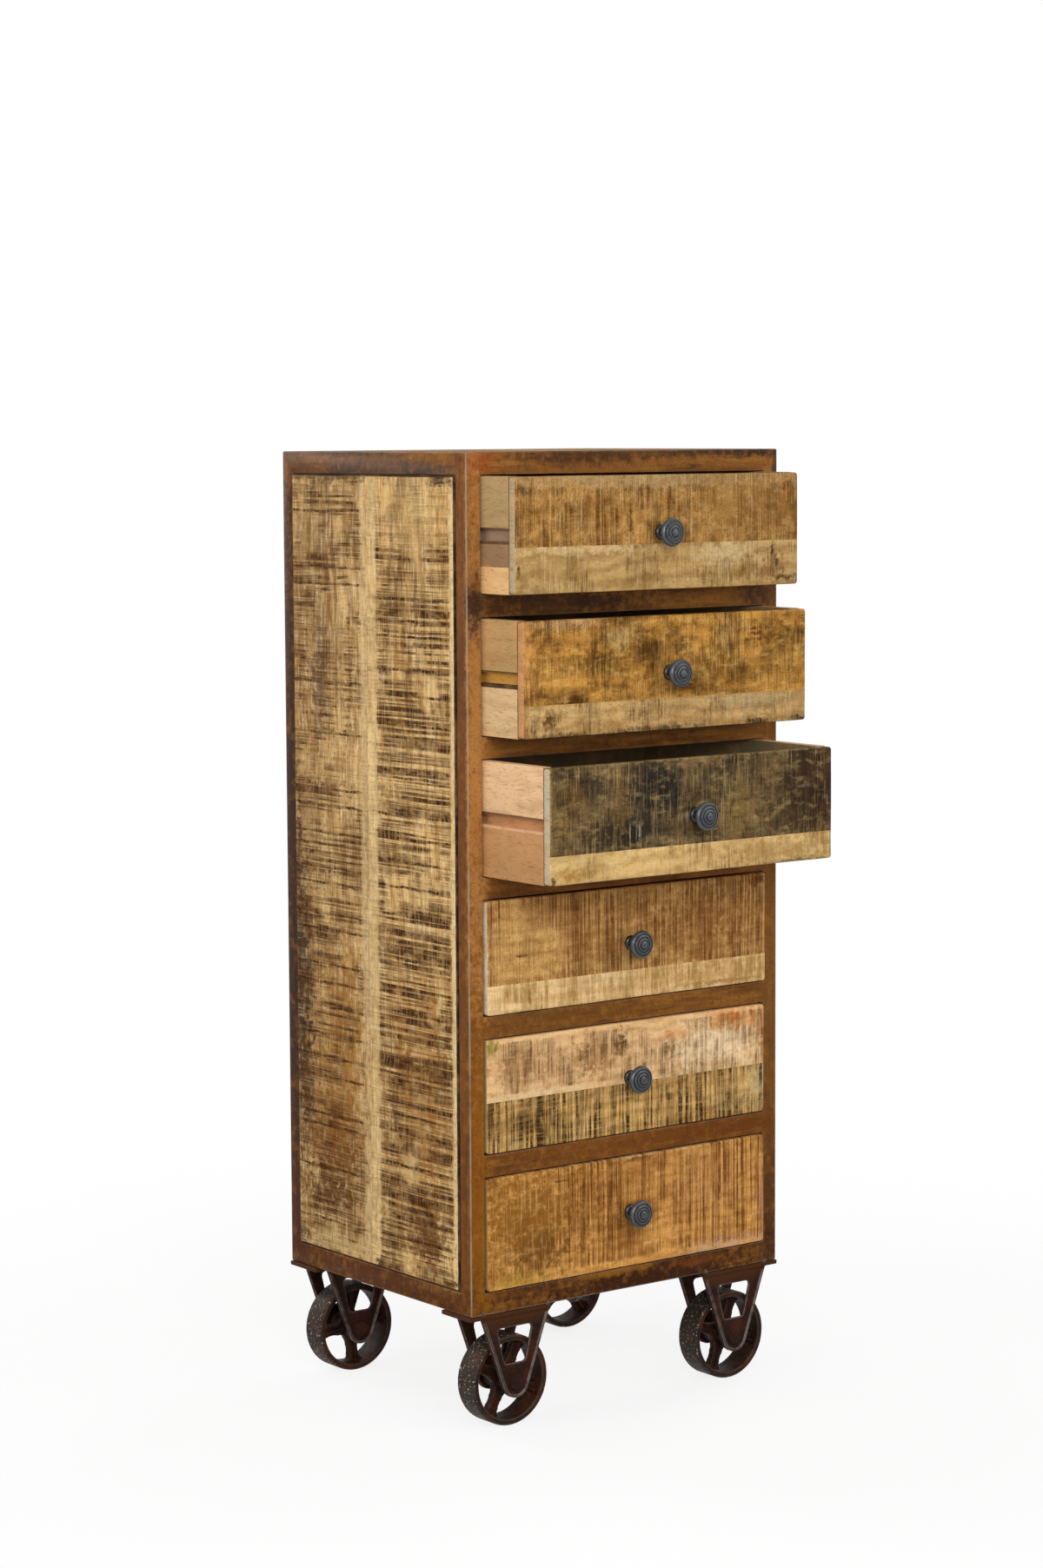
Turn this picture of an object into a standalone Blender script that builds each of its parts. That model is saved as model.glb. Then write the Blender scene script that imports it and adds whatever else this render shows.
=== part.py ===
"""Rolling chest of drawers: an iron tube frame with wooden panels, on four spoked iron wheels.

Metres, +Z up. X runs along the front and -Y points out of it. The origin is on the floor, below the middle
of the box that the chest fills with its drawers pulled out as they are here.
"""

import math

import bmesh
import bpy
from mathutils import Matrix, Vector

# Case: square posts, and rails between them
CASE_WIDTH = 0.450
CASE_DEPTH = 0.358
TUBE_SIZE = 0.020
TUBE_WALL = 0.0015
RAIL_HEIGHT = 0.025
BAY_HEIGHT = 0.1305

# Panels
SIDE_PROUD = 0.0025
BACK_THICKNESS = 0.012
BACK_RECESS = 0.003
TOP_THICKNESS = 0.020
BOTTOM_THICKNESS = 0.010
BOTTOM_RECESS = 0.003
PANEL_EDGE = 0.002

# Drawers, top one first, and how far each is pulled out
PULLED_OUT = (0.057, 0.071, 0.116, 0.002, 0.0, 0.0)
FRONT_THICKNESS = 0.012
FRONT_PROUD = 0.003
FRONT_EDGE = 0.0015
DRAWER_WALL = 0.012
DRAWER_FLOOR = 0.006
DRAWER_BACK_SPACE = 0.010
GROOVE_HEIGHT = 0.012
GROOVE_DEPTH = 0.006

# Knobs
KNOB_LENGTH = 0.026
KNOB_HEAD_RADIUS = 0.016
KNOB_HEAD_THICKNESS = 0.009
KNOB_RIM_WIDTH = 0.004
KNOB_DISH_DEPTH = 0.002
KNOB_BUTTON_RADIUS = 0.005
KNOB_NECK_RADIUS = 0.0052
KNOB_BASE_RADIUS = 0.0085
KNOB_BASE_THICKNESS = 0.003
KNOB_STEPS = 20

# Wheels; a turn is the angle of one spoke from +X towards +Z
WHEEL_RADIUS = 0.052
WHEEL_WIDTH = 0.032
RIM_THICKNESS = 0.007
RIM_EDGE = 0.0015
HUB_RADIUS = 0.013
SPOKE_COUNT = 4
SPOKE_WIDTH = 0.012
SPOKE_DEPTH = 0.012
RIM_STEPS = 48
HUB_STEPS = 24
WHEEL_TURN = {"front_left": 63.0, "front_right": 70.0, "back_left": 96.0, "back_right": 40.0}

# Caster brackets: a top plate over two V-shaped plates with a raised rim and a window
CASTER_INSET = 0.063
WHEEL_TOP_SPACE = 0.0257
WHEEL_SIDE_SPACE = 0.005
TOP_PLATE_THICKNESS = 0.005
TOP_PLATE_PROUD = 0.002
TOP_PLATE_LEDGE = 0.0005
VEE_WIDTH = 0.094
VEE_FOOT_RADIUS = 0.018
VEE_WEB = 0.003
VEE_RIM_HEIGHT = 0.0025
VEE_RIM_WIDTH = 0.004
WINDOW_WIDTH = 0.050
WINDOW_FOOT_WIDTH = 0.029
WINDOW_HEIGHT = 0.0415
WINDOW_LIFT = 0.022
WINDOW_CORNER = 0.004
ARC_STEPS = 10
AXLE_RADIUS = 0.006
AXLE_HEAD_RADIUS = 0.009
AXLE_HEAD_THICKNESS = 0.0022

# Clearances: seated pieces, panels in the frame, drawers in their bays, runners in their grooves
SEAT_GAP = 0.0003
PANEL_GAP = 0.0006
DRAWER_SIDE_GAP = 0.0012
DRAWER_LEVEL_GAP = 0.0012
RUNNER_SIDE_GAP = 0.0008
RUNNER_UNDER_GAP = 0.0012
AXLE_GAP = 0.0003
HUB_GAP = 0.0004

# How far cutters run past a wall, and joined shapes into each other
OVERLAP = 0.001

# Worked out from the sizes above
DRAWER_COUNT = len(PULLED_OUT)
CASE_HEIGHT = DRAWER_COUNT * BAY_HEIGHT + (DRAWER_COUNT + 1) * RAIL_HEIGHT
TOP_PLATE_LOW = WHEEL_RADIUS + WHEEL_TOP_SPACE
CASE_BOTTOM = WHEEL_RADIUS + TOP_PLATE_LOW + TOP_PLATE_THICKNESS + SEAT_GAP
CASE_TOP = CASE_BOTTOM + CASE_HEIGHT
REACH = FRONT_PROUD + max(PULLED_OUT) + KNOB_LENGTH
FRONT_Y = (REACH - CASE_DEPTH) / 2
BACK_Y = FRONT_Y + CASE_DEPTH
SIDE_X = CASE_WIDTH / 2
INNER_X = SIDE_X - TUBE_SIZE
FRONT_WIDTH = 2 * (INNER_X - DRAWER_SIDE_GAP)
FRONT_HEIGHT = BAY_HEIGHT - 2 * DRAWER_LEVEL_GAP
BOX_START = FRONT_THICKNESS + SEAT_GAP
BOX_END = CASE_DEPTH - BACK_RECESS - BACK_THICKNESS - DRAWER_BACK_SPACE + FRONT_PROUD
HUB_LENGTH = WHEEL_WIDTH + 2 * (WHEEL_SIDE_SPACE - HUB_GAP)
WEB_IN = WHEEL_WIDTH / 2 + WHEEL_SIDE_SPACE
WEB_OUT = WEB_IN + VEE_WEB
VEE_FACE = WEB_OUT + VEE_RIM_HEIGHT
BRACKET_HALF = VEE_FACE + TOP_PLATE_LEDGE


def clear_scene():
    for old in list(bpy.data.objects):
        bpy.data.objects.remove(old, do_unlink=True)


def new_collection(name):
    collection = bpy.data.collections.new(name)
    bpy.context.scene.collection.children.link(collection)
    return collection


def new_material(name, color, roughness, metallic):
    material = bpy.data.materials.new(name)
    material.use_nodes = True
    shader = material.node_tree.nodes["Principled BSDF"]
    shader.inputs["Base Color"].default_value = (*color, 1.0)
    shader.inputs["Roughness"].default_value = roughness
    shader.inputs["Metallic"].default_value = metallic
    return material


def place(name, mesh, material, location=(0, 0, 0), rotation=(0, 0, 0), parent=None):
    """Puts a mesh into the chest as a named sub-part."""
    part = bpy.data.objects.new(name, mesh)
    part.location = location
    part.rotation_euler = rotation
    part.parent = parent
    if not mesh.materials:
        mesh.materials.append(None)
    part.material_slots[0].link = 'OBJECT'
    part.material_slots[0].material = material
    parts.objects.link(part)
    return part


def empty(name, location):
    """A joint's place: what moves there is parented to it."""
    mark = bpy.data.objects.new(name, None)
    mark.location = location
    parts.objects.link(mark)
    return mark


def box_mesh(low, high):
    """A box between two corners."""
    size = Vector(high) - Vector(low)
    middle = (Vector(high) + Vector(low)) / 2
    bm = bmesh.new()
    bmesh.ops.create_cube(bm, size=1.0, matrix=Matrix.Translation(middle) @ Matrix.Diagonal((*size, 1.0)))
    mesh = bpy.data.meshes.new("box")
    bm.to_mesh(mesh)
    bm.free()
    return mesh


def rod_mesh(radius, low_y, high_y):
    """A round rod along Y."""
    bm = bmesh.new()
    turn = Matrix.Translation((0, (low_y + high_y) / 2, 0)) @ Matrix.Rotation(math.pi / 2, 4, 'X')
    bmesh.ops.create_cone(bm, cap_ends=True, segments=HUB_STEPS, radius1=radius, radius2=radius,
                          depth=high_y - low_y, matrix=turn)
    mesh = bpy.data.meshes.new("rod")
    bm.to_mesh(mesh)
    bm.free()
    return mesh


def profile_mesh(points, closed):
    """A line of points (radius, height) in the XZ plane, for turning about Z."""
    bm = bmesh.new()
    verts = [bm.verts.new((radius, 0, height)) for radius, height in points]
    for first, second in zip(verts, verts[1:]):
        bm.edges.new((first, second))
    if closed:
        bm.edges.new((verts[-1], verts[0]))
    mesh = bpy.data.meshes.new("profile")
    bm.to_mesh(mesh)
    bm.free()
    return mesh


def turn_profile(part, steps):
    """Turns a part's profile into a closed round solid."""
    screw = part.modifiers.new("turned", 'SCREW')
    screw.steps = steps
    screw.render_steps = steps
    screw.use_merge_vertices = True
    screw.merge_threshold = 0.00001


def finished_mesh(part):
    """The part's mesh with its modifiers, welded, as a mesh of its own. The part itself is removed."""
    bpy.context.view_layer.update()
    seen = part.evaluated_get(bpy.context.evaluated_depsgraph_get())
    mesh = bpy.data.meshes.new_from_object(seen)
    mesh.transform(part.matrix_world)
    bpy.data.objects.remove(part)
    bm = bmesh.new()
    bm.from_mesh(mesh)
    bmesh.ops.remove_doubles(bm, verts=bm.verts, dist=0.000001)
    bmesh.ops.recalc_face_normals(bm, faces=bm.faces)
    bm.to_mesh(mesh)
    bm.free()
    return mesh


def workpiece(mesh):
    """An object that is only shaped further, or shapes another."""
    piece = bpy.data.objects.new("work", mesh)
    piece.hide_render = True
    piece.display_type = 'WIRE'
    cutters.objects.link(piece)
    return piece


def combined(mesh, tools, operation):
    """A mesh joined with, or cut by, each of the tool meshes in turn."""
    base = workpiece(mesh)
    pieces = [workpiece(tool) for tool in tools]
    for piece in pieces:
        step = base.modifiers.new("shape", 'BOOLEAN')
        step.operation = operation
        step.solver = 'EXACT'
        step.object = piece
    result = finished_mesh(base)
    for piece in pieces:
        bpy.data.objects.remove(piece)
    return result


def turned_mesh(points, steps):
    """A closed ring turned about Z from a closed profile."""
    ring = workpiece(profile_mesh(points, closed=True))
    turn_profile(ring, steps)
    return finished_mesh(ring)


def prism_mesh(outline, low_y, high_y):
    """A flat outline in X and Z, as thick as from low_y to high_y."""
    curve = bpy.data.curves.new("outline", 'CURVE')
    curve.dimensions = '2D'
    curve.fill_mode = 'BOTH'
    curve.extrude = (high_y - low_y) / 2
    line = curve.splines.new('POLY')
    line.points.add(len(outline) - 1)
    for point, (x, z) in zip(line.points, outline):
        point.co = (x, z, 0, 1)
    line.use_cyclic_u = True
    flat = workpiece(curve)
    flat.location = (0, (low_y + high_y) / 2, 0)
    flat.rotation_euler = (math.pi / 2, 0, 0)
    return finished_mesh(flat)


def arc(center, radius, start, end, steps):
    """Points along an arc, with both of its ends."""
    angles = [start + (end - start) * step / steps for step in range(steps + 1)]
    return [(center[0] + radius * math.cos(a), center[1] + radius * math.sin(a)) for a in angles]


def rounded(corners, radius, steps):
    """A convex outline, counterclockwise, with each corner rounded."""
    points = []
    for before, corner, after in zip(corners[-1:] + corners[:-1], corners, corners[1:] + corners[:1]):
        into = (Vector(corner) - Vector(before)).normalized()
        out = (Vector(after) - Vector(corner)).normalized()
        bend = into.angle(out)
        start = Vector(corner) - into * radius * math.tan(bend / 2)
        center = start + Vector((-into.y, into.x)) * radius
        first = math.atan2(start.y - center.y, start.x - center.x)
        points += arc(center, radius, first, first + bend, steps)
    return points


def ease_edges(part, width):
    bevel = part.modifiers.new("eased edges", 'BEVEL')
    bevel.width = width
    bevel.segments = 1
    bevel.limit_method = 'ANGLE'


def smooth(part):
    part.data.shade_smooth()
    part.data.set_sharp_from_angle(angle=math.radians(35))


def block(name, low, high, material, edge=0.0, parent=None):
    """A board or strip between two corners, with its origin in its middle."""
    middle = (Vector(low) + Vector(high)) / 2
    part = place(name, box_mesh(Vector(low) - middle, Vector(high) - middle), material, middle, parent=parent)
    if edge:
        ease_edges(part, edge)
    return part


def tube(name, low, high, axis, closed_top, material):
    """A hollow tube along one axis, open at its ends, or with its upper end closed."""
    part = block(name, low, high, material)
    bm = bmesh.new()
    bm.from_mesh(part.data)
    bm.normal_update()
    ends = [face for face in bm.faces if abs(face.normal[axis]) > 0.5]
    opened = [face for face in ends if face.normal[axis] < 0 or not closed_top]
    bmesh.ops.delete(bm, geom=opened, context='FACES')
    bm.to_mesh(part.data)
    bm.free()
    ease_edges(part, TUBE_WALL)
    walls = part.modifiers.new("walls", 'SOLIDIFY')
    walls.thickness = TUBE_WALL
    walls.offset = -1.0
    walls.use_even_offset = True
    return part


def bay_bottom(index):
    """The underside of a drawer's bay, counted from the top."""
    return CASE_BOTTOM + RAIL_HEIGHT + (DRAWER_COUNT - 1 - index) * (BAY_HEIGHT + RAIL_HEIGHT)


def build_frame(iron):
    """Four posts, and the rails welded between them."""
    for row, y in (("front", FRONT_Y), ("back", BACK_Y - TUBE_SIZE)):
        for side, x in (("left", -SIDE_X), ("right", INNER_X)):
            tube(f"post_{row}_{side}", (x, y, CASE_BOTTOM), (x + TUBE_SIZE, y + TUBE_SIZE, CASE_TOP),
                 2, True, iron)

    span = INNER_X - SEAT_GAP
    levels = {"top": CASE_TOP - RAIL_HEIGHT, "bottom": CASE_BOTTOM}
    dividers = {f"divider_{i + 1}": bay_bottom(i) - RAIL_HEIGHT for i in range(DRAWER_COUNT - 1)}
    for level, z in {**levels, **dividers}.items():
        tube(f"rail_front_{level}", (-span, FRONT_Y, z), (span, FRONT_Y + TUBE_SIZE, z + RAIL_HEIGHT),
             0, False, iron)
    for level, z in levels.items():
        tube(f"rail_back_{level}", (-span, BACK_Y - TUBE_SIZE, z), (span, BACK_Y, z + RAIL_HEIGHT),
             0, False, iron)
        for side, x in (("left", -SIDE_X), ("right", INNER_X)):
            tube(f"rail_{side}_{level}", (x, FRONT_Y + TUBE_SIZE + SEAT_GAP, z),
                 (x + TUBE_SIZE, BACK_Y - TUBE_SIZE - SEAT_GAP, z + RAIL_HEIGHT), 1, False, iron)


def build_panels(wood, plain_wood):
    """The sides stand proud of the posts. The other panels sit inside the rails."""
    low_z = CASE_BOTTOM + RAIL_HEIGHT + PANEL_GAP
    high_z = CASE_TOP - RAIL_HEIGHT - PANEL_GAP
    near_y = FRONT_Y + TUBE_SIZE + PANEL_GAP
    far_y = BACK_Y - TUBE_SIZE - PANEL_GAP
    across = INNER_X - PANEL_GAP
    block("panel_left", (-SIDE_X - SIDE_PROUD, near_y, low_z), (-INNER_X, far_y, high_z), wood, PANEL_EDGE)
    block("panel_right", (INNER_X, near_y, low_z), (SIDE_X + SIDE_PROUD, far_y, high_z), wood, PANEL_EDGE)
    back_y = BACK_Y - BACK_RECESS
    block("panel_back", (-across, back_y - BACK_THICKNESS, low_z), (across, back_y, high_z), plain_wood)
    block("panel_top", (-across, near_y, CASE_TOP - TOP_THICKNESS), (across, far_y, CASE_TOP), wood)
    bottom_z = CASE_BOTTOM + RAIL_HEIGHT - BOTTOM_RECESS
    block("panel_bottom", (-across, near_y, bottom_z - BOTTOM_THICKNESS), (across, far_y, bottom_z), plain_wood)


def build_runners(wood):
    """Strips on the inner faces of the sides, in the grooves of the drawers."""
    near_y = FRONT_Y - FRONT_PROUD + BOX_START
    far_y = FRONT_Y - FRONT_PROUD + BOX_END
    outer = INNER_X - SEAT_GAP
    inner = FRONT_WIDTH / 2 - GROOVE_DEPTH + RUNNER_SIDE_GAP
    for i in range(DRAWER_COUNT):
        middle = bay_bottom(i) + BAY_HEIGHT / 2
        low_z = middle - GROOVE_HEIGHT / 2 + RUNNER_UNDER_GAP
        high_z = middle + GROOVE_HEIGHT / 2 - SEAT_GAP
        block(f"runner_left_{i + 1}", (-outer, near_y, low_z), (-inner, far_y, high_z), wood)
        block(f"runner_right_{i + 1}", (inner, near_y, low_z), (outer, far_y, high_z), wood)


def drawer_box_mesh():
    """Two sides with a runner groove each, a back and a floor, open at the top and towards the front board."""
    half_x = FRONT_WIDTH / 2
    half_z = FRONT_HEIGHT / 2
    pocket = box_mesh((-half_x + DRAWER_WALL, BOX_START - OVERLAP, -half_z + DRAWER_FLOOR),
                      (half_x - DRAWER_WALL, BOX_END - DRAWER_WALL, half_z + OVERLAP))
    groove_start = BOX_START - OVERLAP
    groove_end = BOX_END + OVERLAP
    grooves = [box_mesh((min(edge, floor), groove_start, -GROOVE_HEIGHT / 2),
                        (max(edge, floor), groove_end, GROOVE_HEIGHT / 2))
               for edge, floor in ((-half_x - OVERLAP, -half_x + GROOVE_DEPTH),
                                   (half_x + OVERLAP, half_x - GROOVE_DEPTH))]
    blank = box_mesh((-half_x, BOX_START, -half_z), (half_x, BOX_END, half_z))
    return combined(blank, [pocket, *grooves], 'DIFFERENCE')


def knob_profile():
    """From the middle of the button, round the dished head, to the middle of the base."""
    length = KNOB_LENGTH - SEAT_GAP
    dish = length - KNOB_DISH_DEPTH
    rim = KNOB_HEAD_RADIUS - KNOB_RIM_WIDTH
    widest = length - KNOB_HEAD_THICKNESS / 2
    return [(0, length), (KNOB_BUTTON_RADIUS, length), (KNOB_BUTTON_RADIUS, dish), (rim, dish), (rim, length),
            (KNOB_HEAD_RADIUS - KNOB_RIM_WIDTH / 4, length - KNOB_DISH_DEPTH / 2), (KNOB_HEAD_RADIUS, widest),
            (KNOB_NECK_RADIUS, length - KNOB_HEAD_THICKNESS), (KNOB_NECK_RADIUS, KNOB_BASE_THICKNESS),
            (KNOB_BASE_RADIUS, KNOB_BASE_THICKNESS), (KNOB_BASE_RADIUS, 0), (0, 0)]


def build_drawers(front_woods, box_wood, iron):
    """Each drawer rides on an empty in the middle of its front's outer face, and slides along Y."""
    box = drawer_box_mesh()
    knob = profile_mesh(knob_profile(), closed=False)
    for i, (pull, front_wood) in enumerate(zip(PULLED_OUT, front_woods)):
        slide = empty(f"drawer_{i + 1}_slide",
                      (0, FRONT_Y - FRONT_PROUD - pull, bay_bottom(i) + BAY_HEIGHT / 2))
        block(f"drawer_front_{i + 1}", (-FRONT_WIDTH / 2, 0, -FRONT_HEIGHT / 2),
              (FRONT_WIDTH / 2, FRONT_THICKNESS, FRONT_HEIGHT / 2), front_wood, FRONT_EDGE, slide)
        place(f"drawer_box_{i + 1}", box, box_wood, parent=slide)
        handle = place(f"drawer_knob_{i + 1}", knob, iron, (0, -SEAT_GAP, 0), (math.pi / 2, 0, 0), slide)
        turn_profile(handle, KNOB_STEPS)
        smooth(handle)


def wheel_mesh():
    """Rim, hub and spokes, turned about Z."""
    half = WHEEL_WIDTH / 2
    inner = WHEEL_RADIUS - RIM_THICKNESS
    rim = turned_mesh([(inner, half), (WHEEL_RADIUS - RIM_EDGE, half), (WHEEL_RADIUS, half - RIM_EDGE),
                       (WHEEL_RADIUS, RIM_EDGE - half), (WHEEL_RADIUS - RIM_EDGE, -half), (inner, -half)],
                      RIM_STEPS)
    bore = AXLE_RADIUS + AXLE_GAP
    hub = turned_mesh([(bore, HUB_LENGTH / 2), (HUB_RADIUS, HUB_LENGTH / 2),
                       (HUB_RADIUS, -HUB_LENGTH / 2), (bore, -HUB_LENGTH / 2)], HUB_STEPS)
    root = (bore + HUB_RADIUS) / 2
    tip = WHEEL_RADIUS - RIM_THICKNESS / 2
    spokes = []
    for k in range(SPOKE_COUNT):
        spoke = box_mesh((root, -SPOKE_WIDTH / 2, -SPOKE_DEPTH / 2), (tip, SPOKE_WIDTH / 2, SPOKE_DEPTH / 2))
        spoke.transform(Matrix.Rotation(2 * math.pi * k / SPOKE_COUNT, 4, 'Z'))
        spokes.append(spoke)
    return combined(rim, [*spokes, hub], 'UNION')


def vee_outline(lean, foot_radius, top):
    """A V round the axle: a round foot, and straight sides that lean out to the height of top."""
    half = (foot_radius + top * math.sin(lean)) / math.cos(lean)
    foot = arc((0, 0), foot_radius, -math.pi + lean, -lean, ARC_STEPS)
    return foot + [(half, top), (-half, top)]


def vee_mesh():
    """The front V plate: a web with a rim raised round it, and a window."""
    reach = math.hypot(VEE_WIDTH / 2, TOP_PLATE_LOW)
    lean = math.acos(VEE_FOOT_RADIUS / reach) - math.atan2(TOP_PLATE_LOW, VEE_WIDTH / 2)
    top = TOP_PLATE_LOW + OVERLAP
    plate = prism_mesh(vee_outline(lean, VEE_FOOT_RADIUS, top), -VEE_FACE, -WEB_IN)
    pocket = prism_mesh(vee_outline(lean, VEE_FOOT_RADIUS - VEE_RIM_WIDTH, top + OVERLAP),
                        -VEE_FACE - OVERLAP, -WEB_OUT)
    window_top = WINDOW_LIFT + WINDOW_HEIGHT
    corners = [(-WINDOW_FOOT_WIDTH / 2, WINDOW_LIFT), (WINDOW_FOOT_WIDTH / 2, WINDOW_LIFT),
               (WINDOW_WIDTH / 2, window_top), (-WINDOW_WIDTH / 2, window_top)]
    window = prism_mesh(rounded(corners, WINDOW_CORNER, 2), -VEE_FACE - OVERLAP, -WEB_IN + OVERLAP)
    return combined(plate, [pocket, window], 'DIFFERENCE')


def bracket_mesh():
    """Both V plates under the top plate, with the axle pin riveted through them, about the axle's middle."""
    front_vee = vee_mesh()
    back_vee = front_vee.copy()
    back_vee.transform(Matrix.Rotation(math.pi, 4, 'Z'))
    outer_end = -CASTER_INSET - TOP_PLATE_PROUD
    inner_end = VEE_WIDTH / 2 + TOP_PLATE_LEDGE
    top_plate = box_mesh((outer_end, -BRACKET_HALF, TOP_PLATE_LOW),
                         (inner_end, BRACKET_HALF, TOP_PLATE_LOW + TOP_PLATE_THICKNESS))
    pin_end = WEB_OUT + AXLE_HEAD_THICKNESS / 2
    pin = rod_mesh(AXLE_RADIUS, -pin_end, pin_end)
    heads = [rod_mesh(AXLE_HEAD_RADIUS, -WEB_OUT - AXLE_HEAD_THICKNESS, -WEB_OUT + OVERLAP),
             rod_mesh(AXLE_HEAD_RADIUS, WEB_OUT - OVERLAP, WEB_OUT + AXLE_HEAD_THICKNESS)]
    return combined(top_plate, [front_vee, back_vee, pin, *heads], 'UNION')


def build_casters(iron):
    """A fixed bracket under each corner. The wheel's origin is on its axle, which runs along Y."""
    bracket = bracket_mesh()
    wheel = wheel_mesh()
    for row, y in (("front", FRONT_Y + BRACKET_HALF), ("back", BACK_Y - BRACKET_HALF)):
        for side, x, turn in (("left", -SIDE_X + CASTER_INSET, 0), ("right", SIDE_X - CASTER_INSET, math.pi)):
            corner = f"{row}_{side}"
            axle = empty(f"caster_{corner}_axle", (x, y, WHEEL_RADIUS))
            place(f"caster_bracket_{corner}", bracket, iron, rotation=(0, 0, turn), parent=axle)
            spin = -math.radians(WHEEL_TURN[corner])
            smooth(place(f"caster_wheel_{corner}", wheel, iron, rotation=(math.pi / 2, spin, 0), parent=axle))


clear_scene()
parts = new_collection("rolling_chest_of_drawers")
cutters = new_collection("cutters")

rusty_iron = new_material("rusty_iron", (0.171, 0.073, 0.024), 0.62, 0.55)
cast_iron = new_material("cast_iron", (0.040, 0.025, 0.018), 0.70, 0.45)
knob_iron = new_material("knob_iron", (0.075, 0.078, 0.090), 0.45, 0.80)
side_wood = new_material("side_wood", (0.270, 0.133, 0.055), 0.75, 0.0)
inner_wood = new_material("inner_wood", (0.330, 0.190, 0.092), 0.80, 0.0)
front_colors = ((0.302, 0.165, 0.076), (0.345, 0.184, 0.062), (0.090, 0.055, 0.028),
                (0.262, 0.138, 0.062), (0.420, 0.235, 0.121), (0.371, 0.178, 0.060))
drawer_woods = [new_material(f"drawer_wood_{i + 1}", color, 0.72, 0.0) for i, color in enumerate(front_colors)]

build_frame(rusty_iron)
build_panels(side_wood, inner_wood)
build_runners(inner_wood)
build_drawers(drawer_woods, inner_wood, knob_iron)
build_casters(cast_iron)
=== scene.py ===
import math

import bmesh
import bpy
from mathutils import Matrix, Vector


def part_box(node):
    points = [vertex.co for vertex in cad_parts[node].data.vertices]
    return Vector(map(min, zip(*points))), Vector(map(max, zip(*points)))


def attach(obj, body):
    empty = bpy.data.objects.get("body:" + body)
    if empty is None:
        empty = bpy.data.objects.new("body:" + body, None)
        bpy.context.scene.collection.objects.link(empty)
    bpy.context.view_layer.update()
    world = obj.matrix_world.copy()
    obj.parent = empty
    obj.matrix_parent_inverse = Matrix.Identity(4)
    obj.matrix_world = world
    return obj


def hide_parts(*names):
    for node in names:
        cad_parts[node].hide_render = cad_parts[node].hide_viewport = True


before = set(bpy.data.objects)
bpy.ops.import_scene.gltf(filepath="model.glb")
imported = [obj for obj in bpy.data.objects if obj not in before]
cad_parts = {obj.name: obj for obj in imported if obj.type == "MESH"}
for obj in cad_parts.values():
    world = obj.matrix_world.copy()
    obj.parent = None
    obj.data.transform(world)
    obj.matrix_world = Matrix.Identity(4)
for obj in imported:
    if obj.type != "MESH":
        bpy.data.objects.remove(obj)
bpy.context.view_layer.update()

# The camera, solved from the corners of the frame: place in metres, angles in radians, lens and sensor in mm.
CAMERA_PLACE = (-2.5291, -3.2153, 1.1193)
CAMERA_YAW = 0.6530
CAMERA_PITCH = -0.09999
CAMERA_ROLL = -0.00531
CAMERA_LENS = 81.64
CAMERA_SENSOR = 36

# Axes of the row frame.
X, Y, Z = range(3)

DRAWERS = range(1, 7)
CORNERS = ("front_left", "front_right", "back_left", "back_right")

# Sizes of the iron tube, the drawer boxes and the wheels, in metres, as the solids have them.
TUBE = 0.020
RAIL = 0.025
DRAWER_WALL = 0.012
DRAWER_FLOOR = 0.006
GROOVE_DEPTH = 0.006
GROOVE_HEIGHT = 0.012

# Scale at which a wave texture draws one ring in each unit of length.
RING_PER_UNIT = 0.314

# In metres: how far deep saw lines sway and half their width; the height over which rust fades out below a rail.
SCORE_SWAY, SCORE_HALF = 0.005, 0.0015
RUST_FADE = 0.014


# Modelling by hand: select, edit, apply.

def take(piece):
    """Makes this the only selected piece, and the active one."""
    bpy.ops.object.select_all(action="DESELECT")
    piece.select_set(True)
    bpy.context.view_layer.objects.active = piece
    return piece


def named(name):
    """Names the piece that was just added, and puts its place and size into its mesh."""
    piece = take(bpy.context.object)
    piece.name = piece.data.name = name
    bpy.ops.object.transform_apply(location=True, rotation=True, scale=True)
    return piece


def block(name, low, high):
    """A plain block between two corners, to be cut and eased."""
    low, high = Vector(low), Vector(high)
    bpy.ops.mesh.primitive_cube_add(size=1, location=(low + high) / 2, scale=high - low)
    return named(name)


def edit(piece):
    """Opens the piece for editing, with nothing selected."""
    take(piece)
    bpy.ops.object.mode_set(mode="EDIT")
    bpy.ops.mesh.select_mode(type="FACE")
    bpy.ops.mesh.select_all(action="DESELECT")


def close():
    """Ends the editing."""
    bpy.ops.object.mode_set(mode="OBJECT")


def choose(kind, test):
    """Selects the faces, edges or points that pass the test, and no others."""
    mesh = bpy.context.object.data
    bpy.ops.mesh.select_mode(type=kind)
    bpy.ops.mesh.select_all(action="DESELECT")
    shape = bmesh.from_edit_mesh(mesh)
    for part in {"FACE": shape.faces, "EDGE": shape.edges, "VERT": shape.verts}[kind]:
        part.select_set(test(part))
    bmesh.update_edit_mesh(mesh)


def pick(test):
    """Selects the faces whose middle and normal pass the test, and no others."""
    choose("FACE", lambda face: test(face.calc_center_median(), face.normal))


def slice_at(axis, places):
    """Cuts the piece in hand through at each place along an axis. Nothing is taken away."""
    normal = Vector((0, 0, 0))
    normal[axis] = 1
    for place in places:
        bpy.ops.mesh.select_all(action="SELECT")
        bpy.ops.mesh.bisect(plane_co=normal * place, plane_no=normal)


def pull(move):
    """Extrudes the selected faces by a move."""
    bpy.ops.mesh.extrude_region_move(TRANSFORM_OT_translate={"value": move})


def shape_by(piece, kind, **settings):
    """Adds a modifier with these settings and applies it."""
    take(piece)
    modifier = piece.modifiers.new(kind.lower(), kind)
    for key, value in settings.items():
        setattr(modifier, key, value)
    bpy.ops.object.modifier_apply(modifier=modifier.name)


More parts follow.
